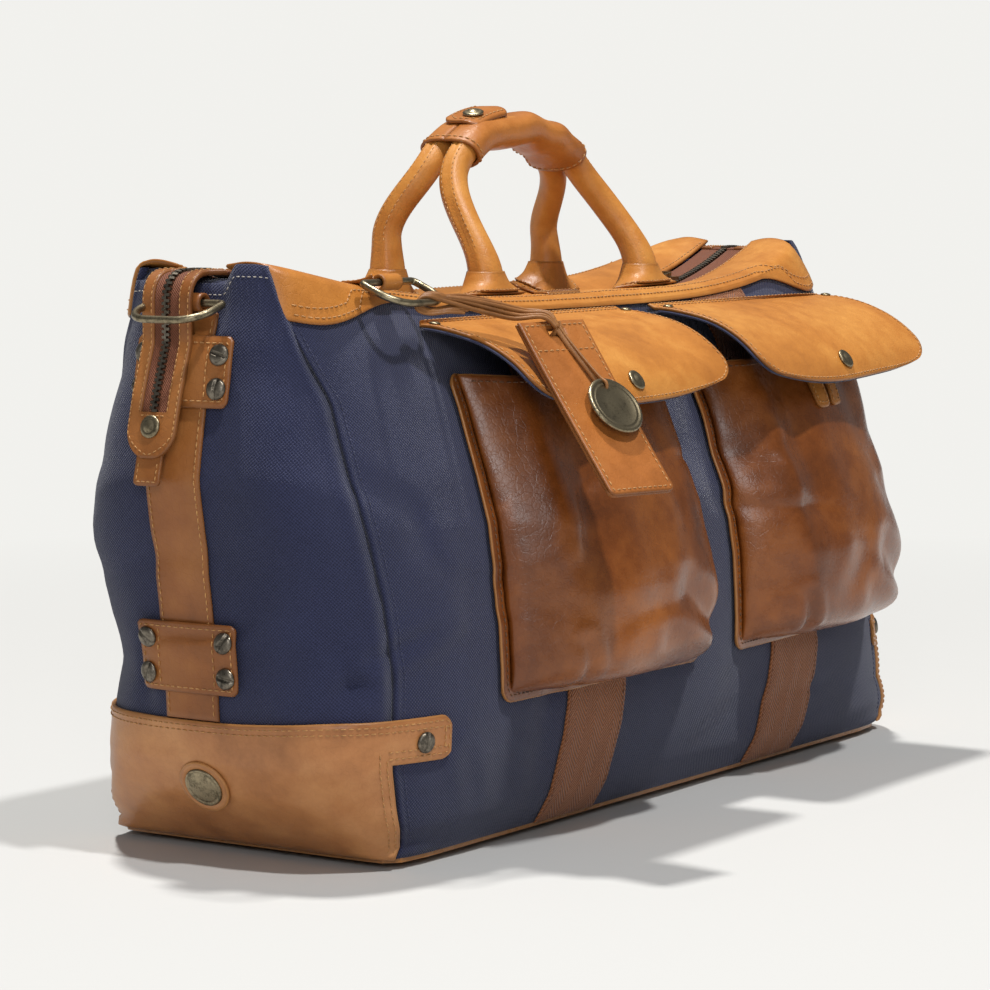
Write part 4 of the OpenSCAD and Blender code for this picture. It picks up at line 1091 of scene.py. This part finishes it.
for tag, xc in POCKET_X.items():
    pf = by_normal(pocket_function(xc, 1))
    half = POCKET_W / 2

    def pocket_f(u, v, off, pf=pf, half=half):
        return pf(u, rounded(u, v, -half, half, POCKET_LOW, POCKET_TOP + 14, 9), off)
    us = np.unique(np.concatenate([span(-half, half, 2.6), np.linspace(half - 12, half - 5, 7),
                                   -np.linspace(half - 12, half - 5, 7)]))
    vs = np.unique(np.concatenate([span(POCKET_LOW, POCKET_TOP, 2.6), np.linspace(93, 103, 9)]))
    piece("pocket_" + tag, skin(pocket_f, us, vs, 2.1, 2.1 + LEATHER_T), CHESTNUT, "bag", "pocket_" + tag)
    line = [(-half + 4.2, POCKET_TOP - 1), (-half + 4.2, POCKET_LOW + 8), (-half + 8, POCKET_LOW + 4.2),
            (half - 8, POCKET_LOW + 4.2),
            (half - 4.2, POCKET_LOW + 8), (half - 4.2, POCKET_TOP - 1)]
    dense = []
    for a, b in zip(line[:-1], line[1:]):
        dense += [tuple(np.array(a) + (np.array(b) - a) * t) for t in np.linspace(0, 1, 12, endpoint=False)]
    sew("pocket_thread:bag:dark", pocket_f, dense + [line[-1]], 2.2 + LEATHER_T, 4.0, 3.0, 0.42)
    sew("pocket_thread:bag:dark", pocket_f,
        [(u, POCKET_TOP - 4) for u in np.linspace(-half + 12, half - 12, 30)], 2.2 + LEATHER_T, 4.0, 3.0)

    # Two small tabs that close the pocket under the flap.
    for k, d in (("a", -9), ("b", 9)):
        def tab_f(u, v, off, pf=pf, d=d):
            return pf(u + d, rounded(u, v, -7, 7, 233, 258, 4), off + 0.9 * smooth((v - 252) / 4))
        nm = "pocket_tab_%s_%s" % (tag, k)
        ob = piece(nm, skin(tab_f, span(-7, 7, 1.4, 0.4), span(233, 258, 1.8, 0.4), 4.5, 6.5), TAN, "bag")
        if (tag, k) == ("left", "a"):
            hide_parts("pocket_tabs")
        sew("pocket_thread:bag:tan", tab_f, [(-4.8, 256), (-4.8, 236), (4.8, 236), (4.8, 256)], 6.55, *FINE)

# ------------------------------------------------------------------ flaps
for tag, xc in POCKET_X.items():
    def flap_f(u, d, off, xc=xc):
        """d from -1 to 0 lies on the canvas behind the hinge, 0 to 1 is the flap."""
        dp = np.clip(d, 0, 1)
        corner = np.clip(FLAP_L * dp - FLAP_L + 25, 0, 25)
        half = FLAP_W / 2 - 25 + np.sqrt(np.maximum(0, 25 ** 2 - corner ** 2))
        x = xc + u * half
        y = HINGE_Y - FLAP_L * 0.97 * 0.86 * np.sin(rad(70.2) * dp ** 0.9) / np.sin(rad(70.2))
        z = FLAP_H - 45 * dp ** 1.5 + 6 * np.abs(u) ** 3 * dp
        z = z + 1.3 * noise(x, y, 5.0 + 0 * x, 60, 40,
                            30) * smooth(dp * 3) - 1.5 * smooth((dp - 0.8) / 0.2) * np.cos(u * 1.5)
        slope = rad(62) * dp ** 0.7
        p = np.stack([x, y - off * np.sin(slope), z + off * np.cos(slope)], -1)
        xr = xc + u * FLAP_W / 2
        h = np.minimum(302.5 - lift(xr) * 0.93, 304)
        q = face_at(xr, h, 2.0, -1) + np.stack([0 * x, -off * 0.6, off * 0.8], -1)
        k = np.clip(-d, 0, 1)[..., None]
        p0 = np.stack([x, y, z + off], -1)
        return np.where((d < 0)[..., None], mix(p0, q, k), p)
    us = np.unique(np.concatenate([span(-1, 1, 0.022, 0.006)]))
    ds = np.unique(np.concatenate([[-1, -0.9, -0.7, -0.45, -0.2], span(0, 1, 0.025, 0.006)]))
    bl = ("bag", "flap_" + tag, (xc * MM, -0.0725, 0.300), (xc * MM, -0.083, 0.298))
    piece("flap_" + tag, skin(flap_f, us, ds, 0.2, 2.4), TAN, stands_for="flap_" + tag,
          blend=bl)
    us2 = np.unique(span(-1.008, 1.008, 0.022, 0.005))
    piece("flap_lining_" + tag,
          skin(flap_f, us2, np.unique(np.concatenate([span(0.02, 1.012, 0.025, 0.005)])), -1.3, 0.15,
               edge=False),
          LINING, stands_for="flap_lining_" + tag, blend=bl)
    rim = [(-0.972, d) for d in np.linspace(0.08, 0.86, 20)] + [(-0.955, 0.91), (-0.93, 0.947)] + \
          [(u, 0.965) for u in np.linspace(-0.85, 0.85, 30)] + [(0.93, 0.947), (0.955, 0.91)] + \
          [(0.972, d) for d in np.linspace(0.86, 0.08, 20)]
    sew("flap_%s_thread:flap_%s:tan" % (tag, tag), flap_f, rim, 2.5)
    for d in (-0.7, -0.15):
        sew("flap_root_thread:bag:tan", flap_f, [(u, d) for u in np.linspace(-0.97, 0.97, 40)], 2.5)
    p, n = surface_frame(lambda u, d, o, f=flap_f: f(u / 110, d / 98, o), 0, 0.84 * 98, 2.45)
    back = lathe([(0.2, -5.4), (4.2, -5.4), (4.5, -5.0), (4.5, -3.9), (0.2, -3.9)], 24)
    piece("flap_snap_" + tag, [placed(lathe(SNAP_PROFILE), p, n), placed(back, p, n)], BRASS, "flap_" + tag,
          "flap_snap_" + tag)
    rivets = []
    for u in (-0.95, 0.95):
        p, n = surface_frame(lambda a, d, o, f=flap_f: f(a / 110, d / 98, o), u * 110, 0.045 * 98, 2.4)
        rivets.append(placed(lathe([(0.2, 0), (3.2, 0), (3.5, 0.5), (3.0, 1.1), (1.6, 1.5), (0.2, 1.6)],
                                   24), p, n))
    piece("flap_rivets_" + tag, rivets, BRASS, "flap_" + tag)


# ------------------------------------------------------------------ handles
def handle_path(s, step=1.5):
    a = np.arange(0, 180.01, step)
    c, d = np.cos(rad(a)), np.sin(rad(a))
    n = mix(2.2, 2.9, smooth((a - 80) / 20))
    r = (np.abs(c) ** n + np.abs(d) ** n) ** (-1 / n)
    z = HANDLE_RISE * r * d
    m = smooth(z / 72) if s < 0 else smooth((z - 24) / 48)
    y = mix(s * ROOT_Y, GRIP_Y + s * 9.3, m)
    y = y + (s > 0) * (c < 0) * 2.2 * np.sin(np.pi * np.clip(z / 92, 0, 1)) ** 2
    return np.stack([HANDLE_CX + HANDLE_HALF * r * c, y, ROOT_Z + z], 1)


for s, tag in ((-1, "front"), (1, "rear")):
    path = handle_path(s)
    n = len(path)
    g = np.linspace(0, 2 * np.pi, 28, endpoint=False)
    wob = noise(path[:, 0:1] + 0 * g, path[:, 2:3] + 0 * g, 6 * np.sin(g)[None] + s * 40 + 0 * path[:, 0:1],
                22, 22, 5)
    flare = 1 + 0.26 * np.exp(-((path[:, 2:3] - ROOT_Z) / 16) ** 2)
    r = (HANDLE_R + 0.35 * wob) * flare
    # A flat seam on the inner side of the roll.
    r = r - 0.9 * np.exp(-((g - np.pi) / 0.16) ** 2)[None]
    r = r + 0.5 * np.exp(-((np.abs(g - np.pi) - 0.38) / 0.16) ** 2)[None]
    section = r[..., None] * np.stack([np.cos(g), np.sin(g)], -1)[None]
    piece("handle_" + tag, tube(path, section), TAN, stands_for="handle_" + tag,
          blend=("bag", "handles", (HANDLE_CX * MM, 0, 0.318), (HANDLE_CX * MM, 0, 0.345)))

    def handle_f(q, k, off, path=path):
        i = np.clip(q, 0, len(path) - 1)
        c = np.stack([np.interp(i, np.arange(len(path)), path[:, j]) for j in range(3)], -1)
        d = np.stack([np.interp(i + 0.5, np.arange(len(path)), path[:, j])
                      - np.interp(i - 0.5, np.arange(len(path)), path[:, j]) for j in range(3)], -1)
        d = unit(d)
        a = unit(np.cross(d, [0, 1, 0]))
        b = np.cross(d, a)
        return c + (HANDLE_R + np.asarray(off))[...,
                                                None] * (np.cos(k)[..., None] * a + np.sin(k)[..., None]
                                                         * b)
    for k in (np.pi - 0.40, np.pi + 0.40):
        for a0, a1 in ((6, 44), (76, 114)):
            sew("handle_thread:handles:tan", handle_f, [(q, k) for q in np.linspace(a0, a1, 30)], 0.35,
                *SMALL)

roots, patches = [], []
for s in (-1, 1):
    for e in (-1, 1):
        x = HANDLE_CX + e * HANDLE_HALF
        y = s * ROOT_Y

        def root_f(g, v, off, x=x, y=y, e=e):
            """g is the angle round the leg, v from 0 on the yoke to 1 at the leg."""
            k = (1 - v) ** 1.3
            rx_, ry_ = mix(10.6, 23.0, k), mix(10.4, 14.0, k)
            rx_ = rx_ + 1.6 * np.sin(v * 9) * (1 - v)
            n = mix(2.0, 3.0, k)
            r = (np.abs(np.cos(g)) ** n + np.abs(np.sin(g)) ** n) ** (-1 / n)
            px, py = x + (rx_ + off) * r * np.cos(g), y + (ry_ + off) * r * np.sin(g)
            floor = on_top(px, py, YOKE_GAP + LEATHER_T + 2.6)[..., 2]
            z = mix(floor,
                    on_top(np.full_like(px, x), np.full_like(py, y), YOKE_GAP + LEATHER_T)[..., 2] + 17,
                    v ** 1.25)
            return np.stack([px, py, z + 0.4 * off], -1)
        gs = np.linspace(0, 2 * np.pi, 49)
        roots.append(skin(root_f, gs,
                          np.array([0, 0.03, 0.08, 0.15, 0.25, 0.38, 0.52, 0.68, 0.82, 0.93, 0.98, 1.0]),
                          -1.0, 1.0))
        sew("root_thread:bag:tan", root_f, [(g, 0.10) for g in np.linspace(0, 2 * np.pi, 40)], 1.15, 3.6,
            2.7)

        def patch_f(u, w, off, x=x, y=y, s=s):
            """Pointed patch: u along X, w -1..1 across."""
            half = 11 * np.clip((34 - np.abs(u)) / 8, 0.02, 1)
            return on_top(x + u, y + s + w * half, YOKE_GAP + LEATHER_T + off)
        patches.append(skin(patch_f, span(-33.8, 33.8, 2, 0.5), np.linspace(-1, 1, 11), 0.5, 2.4))
        for w in (-0.76, 0.76):
            sew("root_thread:bag:tan", patch_f, [(u, w) for u in np.linspace(-26, 26, 12)], 2.5, 3.6, 2.7)
        for w in (-1, 1):
            for q in (-1, 1):
                sew("root_thread:bag:tan", patch_f, [(q * 26, 0.76 * w), (q * 31, 0.3 * w)], 2.5, 3.6, 2.7)
piece("handle_roots", roots, TAN, "bag", "handle_roots")
piece("handle_patches", patches, TAN, "bag", "handle_patches")

# Blank label patch on the front yoke.
lab = lambda u, v, o: on_top(-45.5 + u, -50 + v, YOKE_GAP + LEATHER_T + o)
piece("label_patch",
      skin(lambda u, v, o: lab(u, rounded(u, v, -18, 18, -6, 6, 1.5), o), span(-18, 18, 2, 0.5),
           span(-6, 6, 1.5, 0.4), 0.1, 1.3),
      CHESTNUT, "bag")
sew("label_thread:bag:tan", lab, [(-16, -4.5), (16, -4.5), (16, 4.5), (-16, 4.5)], 1.4, 3.0, 2.2, 0.32,
    closed=True)

# ------------------------------------------------------------------ grip wrap
full = handle_path(-1, 0.75)
sel = full[np.abs(full[:, 0] - WRAP_X) < WRAP_L / 2 + 4]
sel[:, 1] = GRIP_Y


def wrap_f(q, g, off, path=sel):
    i = np.clip(q, 0, len(path) - 1)
    idx = np.arange(len(path))
    c = np.stack([np.interp(i, idx, path[:, j]) for j in range(3)], -1)
    d = np.stack([np.interp(i + 1, idx, path[:, j]) - np.interp(i - 1, idx, path[:, j]) for j in range(3)],
                 -1)
    d = unit(d)
    up = unit(np.cross(d, [0, 1, 0]))
    up = up * np.sign(up[..., 2:3])
    r = (np.abs(np.cos(g)) ** 2.4 + np.abs(np.sin(g)) ** 2.4) ** (-1 / 2.4)
    u = q / (len(path) - 1)
    wr = 1.5 * np.sin(u * 26 + 2.2 * np.sin(g + 1) + 3 * np.sin(u * 5)) * np.exp(-((u - 0.5) / 0.42) ** 2)
    wr = wr + 0.8 * noise(c[..., 0], 12 * np.cos(g), 12 * np.sin(g), 13, 9, 9)
    waist = 1 - 0.07 * np.sin(np.pi * u)
    a, b = 21.0 * waist + off + 0.5 * wr, 11.6 * waist + off + wr
    return c + (b * r * np.cos(g))[..., None] * up + (a * r * np.sin(g))[..., None] * np.array([0, 1, 0.0])


piece("handle_wrap",
      skin(wrap_f, np.unique(np.concatenate([np.linspace(0, len(sel) - 1, 90), [0.4, len(sel) - 1.4]])),
                          np.linspace(0, 2 * np.pi, 73), -2.0, 0.2, bevel=0.3), WRAP, "handles",
      "handle_wrap")
for q in (2.4, len(sel) - 3.4):
    sew("wrap_thread:handles:tan", wrap_f, [(q, g) for g in np.linspace(0, 2 * np.pi, 40)], 0.3)
sew("wrap_thread:handles:tan", wrap_f, [(q, 2.4) for q in np.linspace(3, len(sel) - 4, 40)], 0.3)


def tongue_f(u, v, off):
    """Tongue over the wrap: u along the handle, v across from -20 to 6."""
    lean = rad(-13)
    drop = 0.028 * np.clip(-v - 14, 0, 40) ** 2 + 0.004 * (u + 2) ** 2
    x = -50 + u * np.cos(lean) + (off + 0.4) * np.sin(lean)
    z = ROOT_Z + HANDLE_RISE + 9.9 - u * np.sin(lean) * 1.0 + (off + 0.4) * np.cos(lean) - drop
    return np.stack([x, GRIP_Y + 12 + v, z], -1)


piece("wrap_tongue",
      skin(lambda u, v, o: tongue_f(rounded(v, u, -26, 0, -22, 18, 7), v, o), span(-22, 18, 1.8, 0.5),
           span(-26, 0, 1.8, 0.5), -0.2, 2.0),
      WRAP, "tongue", "wrap_tongue")
sew("tongue_thread:tongue:tan", tongue_f,
    [(14, -23), (-14, -23), (-19, -18), (-19, -8), (-14, -3), (14, -3)], 2.1)
p, n = surface_frame(tongue_f, -10, -16, 2.0)
piece("wrap_snap", placed(lathe(SNAP_PROFILE), p, n), BRASS, "tongue", "wrap_snap")

# ------------------------------------------------------------------ ring keeper, laces, tag, medallion
KX, KY, KZ = -258.0, -72.0, 327.0


def keeper_f(u, v, off):
    """Loop of leather round the ring's bar and back to the yoke, v in mm along it."""
    r = 3.0 + off
    g = np.clip(v / 18.0, 0, 1) * np.pi * 1.5
    x = KX + u
    y = KY - r * np.sin(g)
    z = KZ - r * np.cos(g)
    k = np.clip((v - 18) / 26, 0, 1)
    y0, z0 = KY + r, KZ
    tgt = on_top(x, np.full_like(x, -46.0), YOKE_GAP + LEATHER_T + off)
    yy = np.where(v > 18, mix(y0 - 3 * smooth(k * 3), -46.0, k), y)
    zz = np.where(v > 18, mix(z0 + r * (1 - k), tgt[..., 2], smooth(k)), z)
    low_g = np.clip(-v / 26.0, 0, 1)
    yy = np.where(v < 0, mix(KY, -46.0, low_g), yy)
    zz = np.where(v < 0, mix(KZ - r, tgt[..., 2] + 0.5, smooth(low_g)), zz)
    return np.stack([x, yy, zz], -1)


keeper = skin(keeper_f, span(-9, 9, 2, 0.5), np.linspace(0, 44, 40), -0.2, 1.8)
piece("ring_keeper", keeper, TAN, "bag", "ring_keeper")
for k in (-6.5, 6.5):
    sew("keeper_thread:bag:tan", keeper_f, [(k, v) for v in np.linspace(22, 42, 8)], 1.85, *FINE)

TAG_TOP, TAG_TURN = np.array([-190.6, -138, 297]), (rad(52), 0.0, rad(-12))
cx_, sx_, cz_, sz_ = np.cos(TAG_TURN[0]), np.sin(TAG_TURN[0]), np.cos(TAG_TURN[2]), np.sin(TAG_TURN[2])
TAG_R = np.array([[cz_, -sz_, 0], [sz_, cz_, 0],
                  [0, 0, 1]]) @ np.array([[1, 0, 0], [0, cx_, -sx_], [0, sx_, cx_]])


def tag_f(u, v, off):
    curl = 0.0007 * (v + 40) ** 2 * 0.5 + 0.5 * np.sin(u / 13 + v / 30)
    q = np.stack(np.broadcast_arrays(u, v, off + curl * 0.6), -1)
    return TAG_TOP + q @ TAG_R.T


us = np.unique(np.concatenate([span(-26, 26, 2, 0.5), [-6, -5.6, 5.6, 6]]))
vs = np.unique(np.concatenate([span(-112, 6, 2, 0.5), [-4, -3.6, 0.6, 1]]))
hole = lambda u, v: ~((np.abs(u) < 6) & (v > -4) & (v < 1))
shape = lambda u, v, o: tag_f(u, np.where(v < -20, rounded(u, v, -26, 26, -112, 72, 4), v), o)
for k, (lo, hi) in enumerate(((0.0, 1.95), (2.05, 4.0))):
    piece("tag" if k else "tag_back", skin(shape, us, vs, lo, hi, mask=hole), TAGTAN, "tag",
          "tag" if k else ())
sew("tag_thread:tag:tan", tag_f, [(-23, 3), (-23, -109), (23, -109), (23, 3)], 4.05, closed=True)
sew("tag_thread:tag:tan", tag_f, [(-23, -14), (23, -14)], 4.05)

MEDAL = [(0.2, 0), (17.6, 0), (18.4, 0.5), (18.5, 1.3), (18.0, 2.0), (17.2, 2.4), (16.3, 2.3), (15.6, 1.9),
         (14.8, 1.85),
         (14.3, 2.1), (13.7, 2.1), (13.2, 1.85), (6.0, 2.15), (0.2, 2.3)]
medal = lathe(MEDAL, 64)
origin = TAG_TOP + np.array([8, -57, 8.5]) @ TAG_R.T
medal = placed(medal, origin, TAG_R[:, 2], TAG_R[:, 0])
piece("medallion", medal, BRASS, "medallion", "medallion")


def curve_through(points, n=40):
    """Smooth line through the points (Catmull-Rom)."""
    p = np.asarray(points, float)
    p = np.concatenate([[2 * p[0] - p[1]], p, [2 * p[-1] - p[-2]]])
    out = []
    for i in range(1, len(p) - 2):
        t = np.linspace(0, 1, n, endpoint=i == len(p) - 3)[:, None]
        a, b, c, d = p[i - 1], p[i], p[i + 1], p[i + 2]
        out.append(0.5
                   * (2 * b + (c - a) * t + (2 * a - 5 * b + 4 * c - d) * t ** 2 + (3 * b - a - 3 * c + d)
                      * t ** 3))
    return np.concatenate(out)


def frame_tube(path, r, m=12, thin=1.0):
    """Round tube along any path, with frames carried along it."""
    path = np.asarray(path, float)
    d = unit(np.gradient(path, axis=0))
    a = unit(np.cross(d[0], [0.3, 0.2, 1.0]))
    rings = []
    g = np.linspace(0, 2 * np.pi, m, endpoint=False)
    for i in range(len(path)):
        a = unit(a - np.dot(a, d[i]) * d[i])
        b = np.cross(d[i], a)
        rings.append(path[i] + r * (np.cos(g)[:, None] * a + thin * np.sin(g)[:, None] * b))
    ring = np.array(rings)
    verts = np.concatenate([ring.reshape(-1, 3), path[[0, -1]] + np.stack([-d[0], d[-1]]) * r * 0.4])
    return dict(v=verts, f=tube_faces(len(path), m), cloth=verts * MM, edge=np.full(len(verts), NO_EDGE))


# Flat laces from the ring over the flap's rear left corner to the tag's slot.
# The first row is the CAD's route.
LACE_R, LACE_FLAT, PER_SPAN = 1.9, 0.62, 12
LACE_ROUTE = np.array([(-243, -101, 318.5), (-232, -108, 317), (-217, -117, 313.5), (-202, -127, 309.5),
                       (-195.6, -138, 308.5),
                       (-193.6, -144, 301.5)], float)
lace_blend = ("bag", "flap_left", (-0.240, -0.100, 0.318), (-0.205, -0.126, 0.310))
SPREAD = [(0, 0, 0, 0), (4.5, -1.2, 0.4, 0.0), (-4.0, 2.0, -1.6, 0.6), (2.0, 3.6, 1.9, 1.2),
          (-7.5, 3.0, -3.6, 0.2)]
for k, (dx, dy, dz, twist) in enumerate(SPREAD):
    path = curve_through(LACE_ROUTE, PER_SPAN)
    w = np.linspace(0, 1, len(path))[:, None]
    bow = np.sin(np.pi * w)
    near_end = 1 - 0.62 * smooth((w - 0.6) / 0.4)
    path = path + np.array([dx, dy, dz]) * (0.35 + 0.65
                                            * bow) * near_end + twist * np.array([0.6, 0.8,
                                                                                  0.5]) * np.sin(7 * w)
    strand = piece("tag_lace_%d" % (k + 1), frame_tube(path, LACE_R, 14, LACE_FLAT), LACE,
                   stands_for="tag_laces" if k == 0 else (),
                   blend=lace_blend)

# Where the laces turn round the ring's bow.
turns = []
for k, (dx, dy, dz, twist) in enumerate(SPREAD):
    o = np.array([dx, dy, dz]) * 0.35
    pts = [LACE_ROUTE[0] + o, LACE_ROUTE[0] + o + (-6, 3.5, 1.8), np.array([-254, -93.5, 319.0]) + o * 0.8,
           np.array([-256, -93, 313.5]) + o * 0.8,
           np.array([-249, -97, 311.0]) + o, np.array([-238, -104, 312.5]) + o * 1.6,
           np.array([-228, -109, 312.5]) + o * 2.0]
    turns.append(frame_tube(curve_through(pts, PER_SPAN), LACE_R, 14, LACE_FLAT))
piece("lace_turns", turns, LACE,
      blend=("bag", "front_ring", (-0.237, -0.104, 0.316), (-0.251, -0.094, 0.318)))
tl = lambda a: tuple(TAG_TOP + np.array(a) @ TAG_R.T)
hang = [[tl((-1.5, 3, 7.0)), tl((-1.5, -1.0, 5.6)), tl((-1.5, -2.0, 1.5)), tl((-1.2, -1.5, -2.0))],
        [tl((2, 3, 7.2)), tl((2.2, -1.2, 5.8)), tl((2.2, -2.0, 1.5)), tl((2.0, -1.5, -2.0))],
        [tl((0.5, 2, 6.6)), tl((3, -10, 6.6)), tl((6, -25, 7.6)), tl((8, -38, 9.6)), tl((8, -42.5, 11.6)),
         tl((8.3, -45, 9.5)), tl((8, -41, 7.2)),
         tl((5.5, -28, 6.2)), tl((2, -12, 5.6)), tl((-1, 1, 6.0))]]
piece("tag_lace_ends", [frame_tube(curve_through(k, PER_SPAN), 1.7, 14, LACE_FLAT) for k in hang], LACE,
      "tag")

# ------------------------------------------------------------------ feet and CAD pieces kept
feet = []
for p in [(0, 0)] + [(i * 195, j * 76) for i in (-1, 1) for j in (-1, 1)] + [(0, -76), (0, 76)]:
    prof = [(0.2, 0), (4.0, 0), (5.0, 0.25), (5.7, 0.9), (6.0, 1.8), (6.0, 3.4), (5.8, 4.0), (2.2, 4.0),
            (2.2, 10.2), (5.0, 10.2), (5.0, 11.4), (0.2, 11.4)]
    c = lathe(prof, 32)
    c["v"] = c["v"] + [p[0], p[1], 0]
    feet.append(c)
piece("feet", feet, FOOT, "bag", "feet")

for nm, mat in (("base_panel", CHESTNUT), ("base_board", BOARD), ("handle_cores", CORE),
                ("zip_slider", BRASS), ("zip_pull", BRASS),
                ("d_ring_left", BRASS), ("d_ring_right", BRASS), ("front_ring", BRASS)):
    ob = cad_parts[nm]
    for sl in ob.material_slots:
        sl.material = mat
    if not ob.material_slots:
        ob.data.materials.append(mat)

# ------------------------------------------------------------------ stitches become meshes
COLOURS = {"tan": THREAD_TAN, "dark": THREAD_DARK, "cream": THREAD_CREAM,
           "brown": thread("thread_brown", (0.10, 0.032, 0.014), (0.26, 0.10, 0.045)),
           "navy": thread("thread_navy", (0.014, 0.016, 0.045), (0.045, 0.05, 0.12))}
for key, rows in THREADS.items():
    nm, body, colour = key.split(":")
    piece(nm + "_" + colour, thread_chunk(rows), COLOURS[colour], body)

# ------------------------------------------------------------------ floor, lights, camera
PAPER = (0.885, 0.880, 0.850)
floor_m, t, b = material("floor_pale")
v = object_vector(t)
far = remap(t, node(t, "VectorMath", {0: v}, operation="LENGTH").outputs["Value"], 0.6, 1.5)
t.links.new(blend_colour(t, far, (0.560, 0.558, 0.546), (0.0, 0.0, 0.0)), b.inputs["Base Color"])
t.links.new(blend_colour(t, far, (0.0, 0.0, 0.0), PAPER), b.inputs["Emission Color"])
b.inputs["Emission Strength"].default_value = 1.0
b.inputs["Roughness"].default_value = 0.9
b.inputs["Specular IOR Level"].default_value = 0.0
me = bpy.data.meshes.new("floor")
me.from_pydata([(-60, -60, 0), (60, -60, 0), (60, 60, 0), (-60, 60, 0)], [], [(0, 1, 2, 3)])
me.materials.append(floor_m)
floor = bpy.data.objects.new("floor", me)
bpy.context.scene.collection.objects.link(floor)
floor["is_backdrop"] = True

world = bpy.data.worlds.new("studio")
bpy.context.scene.world = world
world.use_nodes = True
w = world.node_tree
sky = w.nodes["Background"]
sky.inputs[0].default_value = (0.98, 0.99, 1.0, 1)
sky.inputs[1].default_value = 0.16
wall = w.nodes.new("ShaderNodeBackground")
wall.inputs[0].default_value = PAPER + (1,)
ray = w.nodes.new("ShaderNodeLightPath")
pick = w.nodes.new("ShaderNodeMixShader")
w.links.new(ray.outputs["Is Camera Ray"], pick.inputs[0])
w.links.new(sky.outputs[0], pick.inputs[1])
w.links.new(wall.outputs[0], pick.inputs[2])
w.links.new(pick.outputs[0], w.nodes["World Output"].inputs[0])
bpy.context.scene.view_settings.view_transform = "Standard"


def area(name, place, target, size, power, colour=(1, 1, 1)):
    light = bpy.data.lights.new(name, "AREA")
    light.shape = "DISK"
    light.size = size
    light.energy = power
    light.color = colour
    ob = bpy.data.objects.new(name, light)
    ob.location = place
    ob.rotation_euler = (Vector(target) - Vector(place)).to_track_quat("-Z", "Y").to_euler()
    bpy.context.scene.collection.objects.link(ob)


area("key", (0.15, 0.95, 6.0), (0, 0, 0.15), 0.4, 320, (1.0, 0.985, 0.955))
area("front", (-0.9, -2.7, 5.6), (0, 0, 0.15), 0.35, 225)
area("fill", (-3.6, -2.2, 1.7), (0, 0, 0.15), 1.5, 42, (0.97, 0.98, 1.0))

cam_data = bpy.data.cameras.new("camera")
cam_data.lens = 130.7
cam_data.sensor_width = 36
cam = bpy.data.objects.new("camera", cam_data)
cam.location = (-1.9096, -1.2316, 0.4038)
cam.rotation_euler = (Vector((-0.039, 0, 0.18535)) - cam.location).to_track_quat("-Z", "Y").to_euler()
bpy.context.scene.collection.objects.link(cam)
bpy.context.scene.camera = cam

as_lists = lambda box: [[float(x) for x in corner] for corner in box]
{"cad": as_lists(cad_box), "visual": as_lists(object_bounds())}
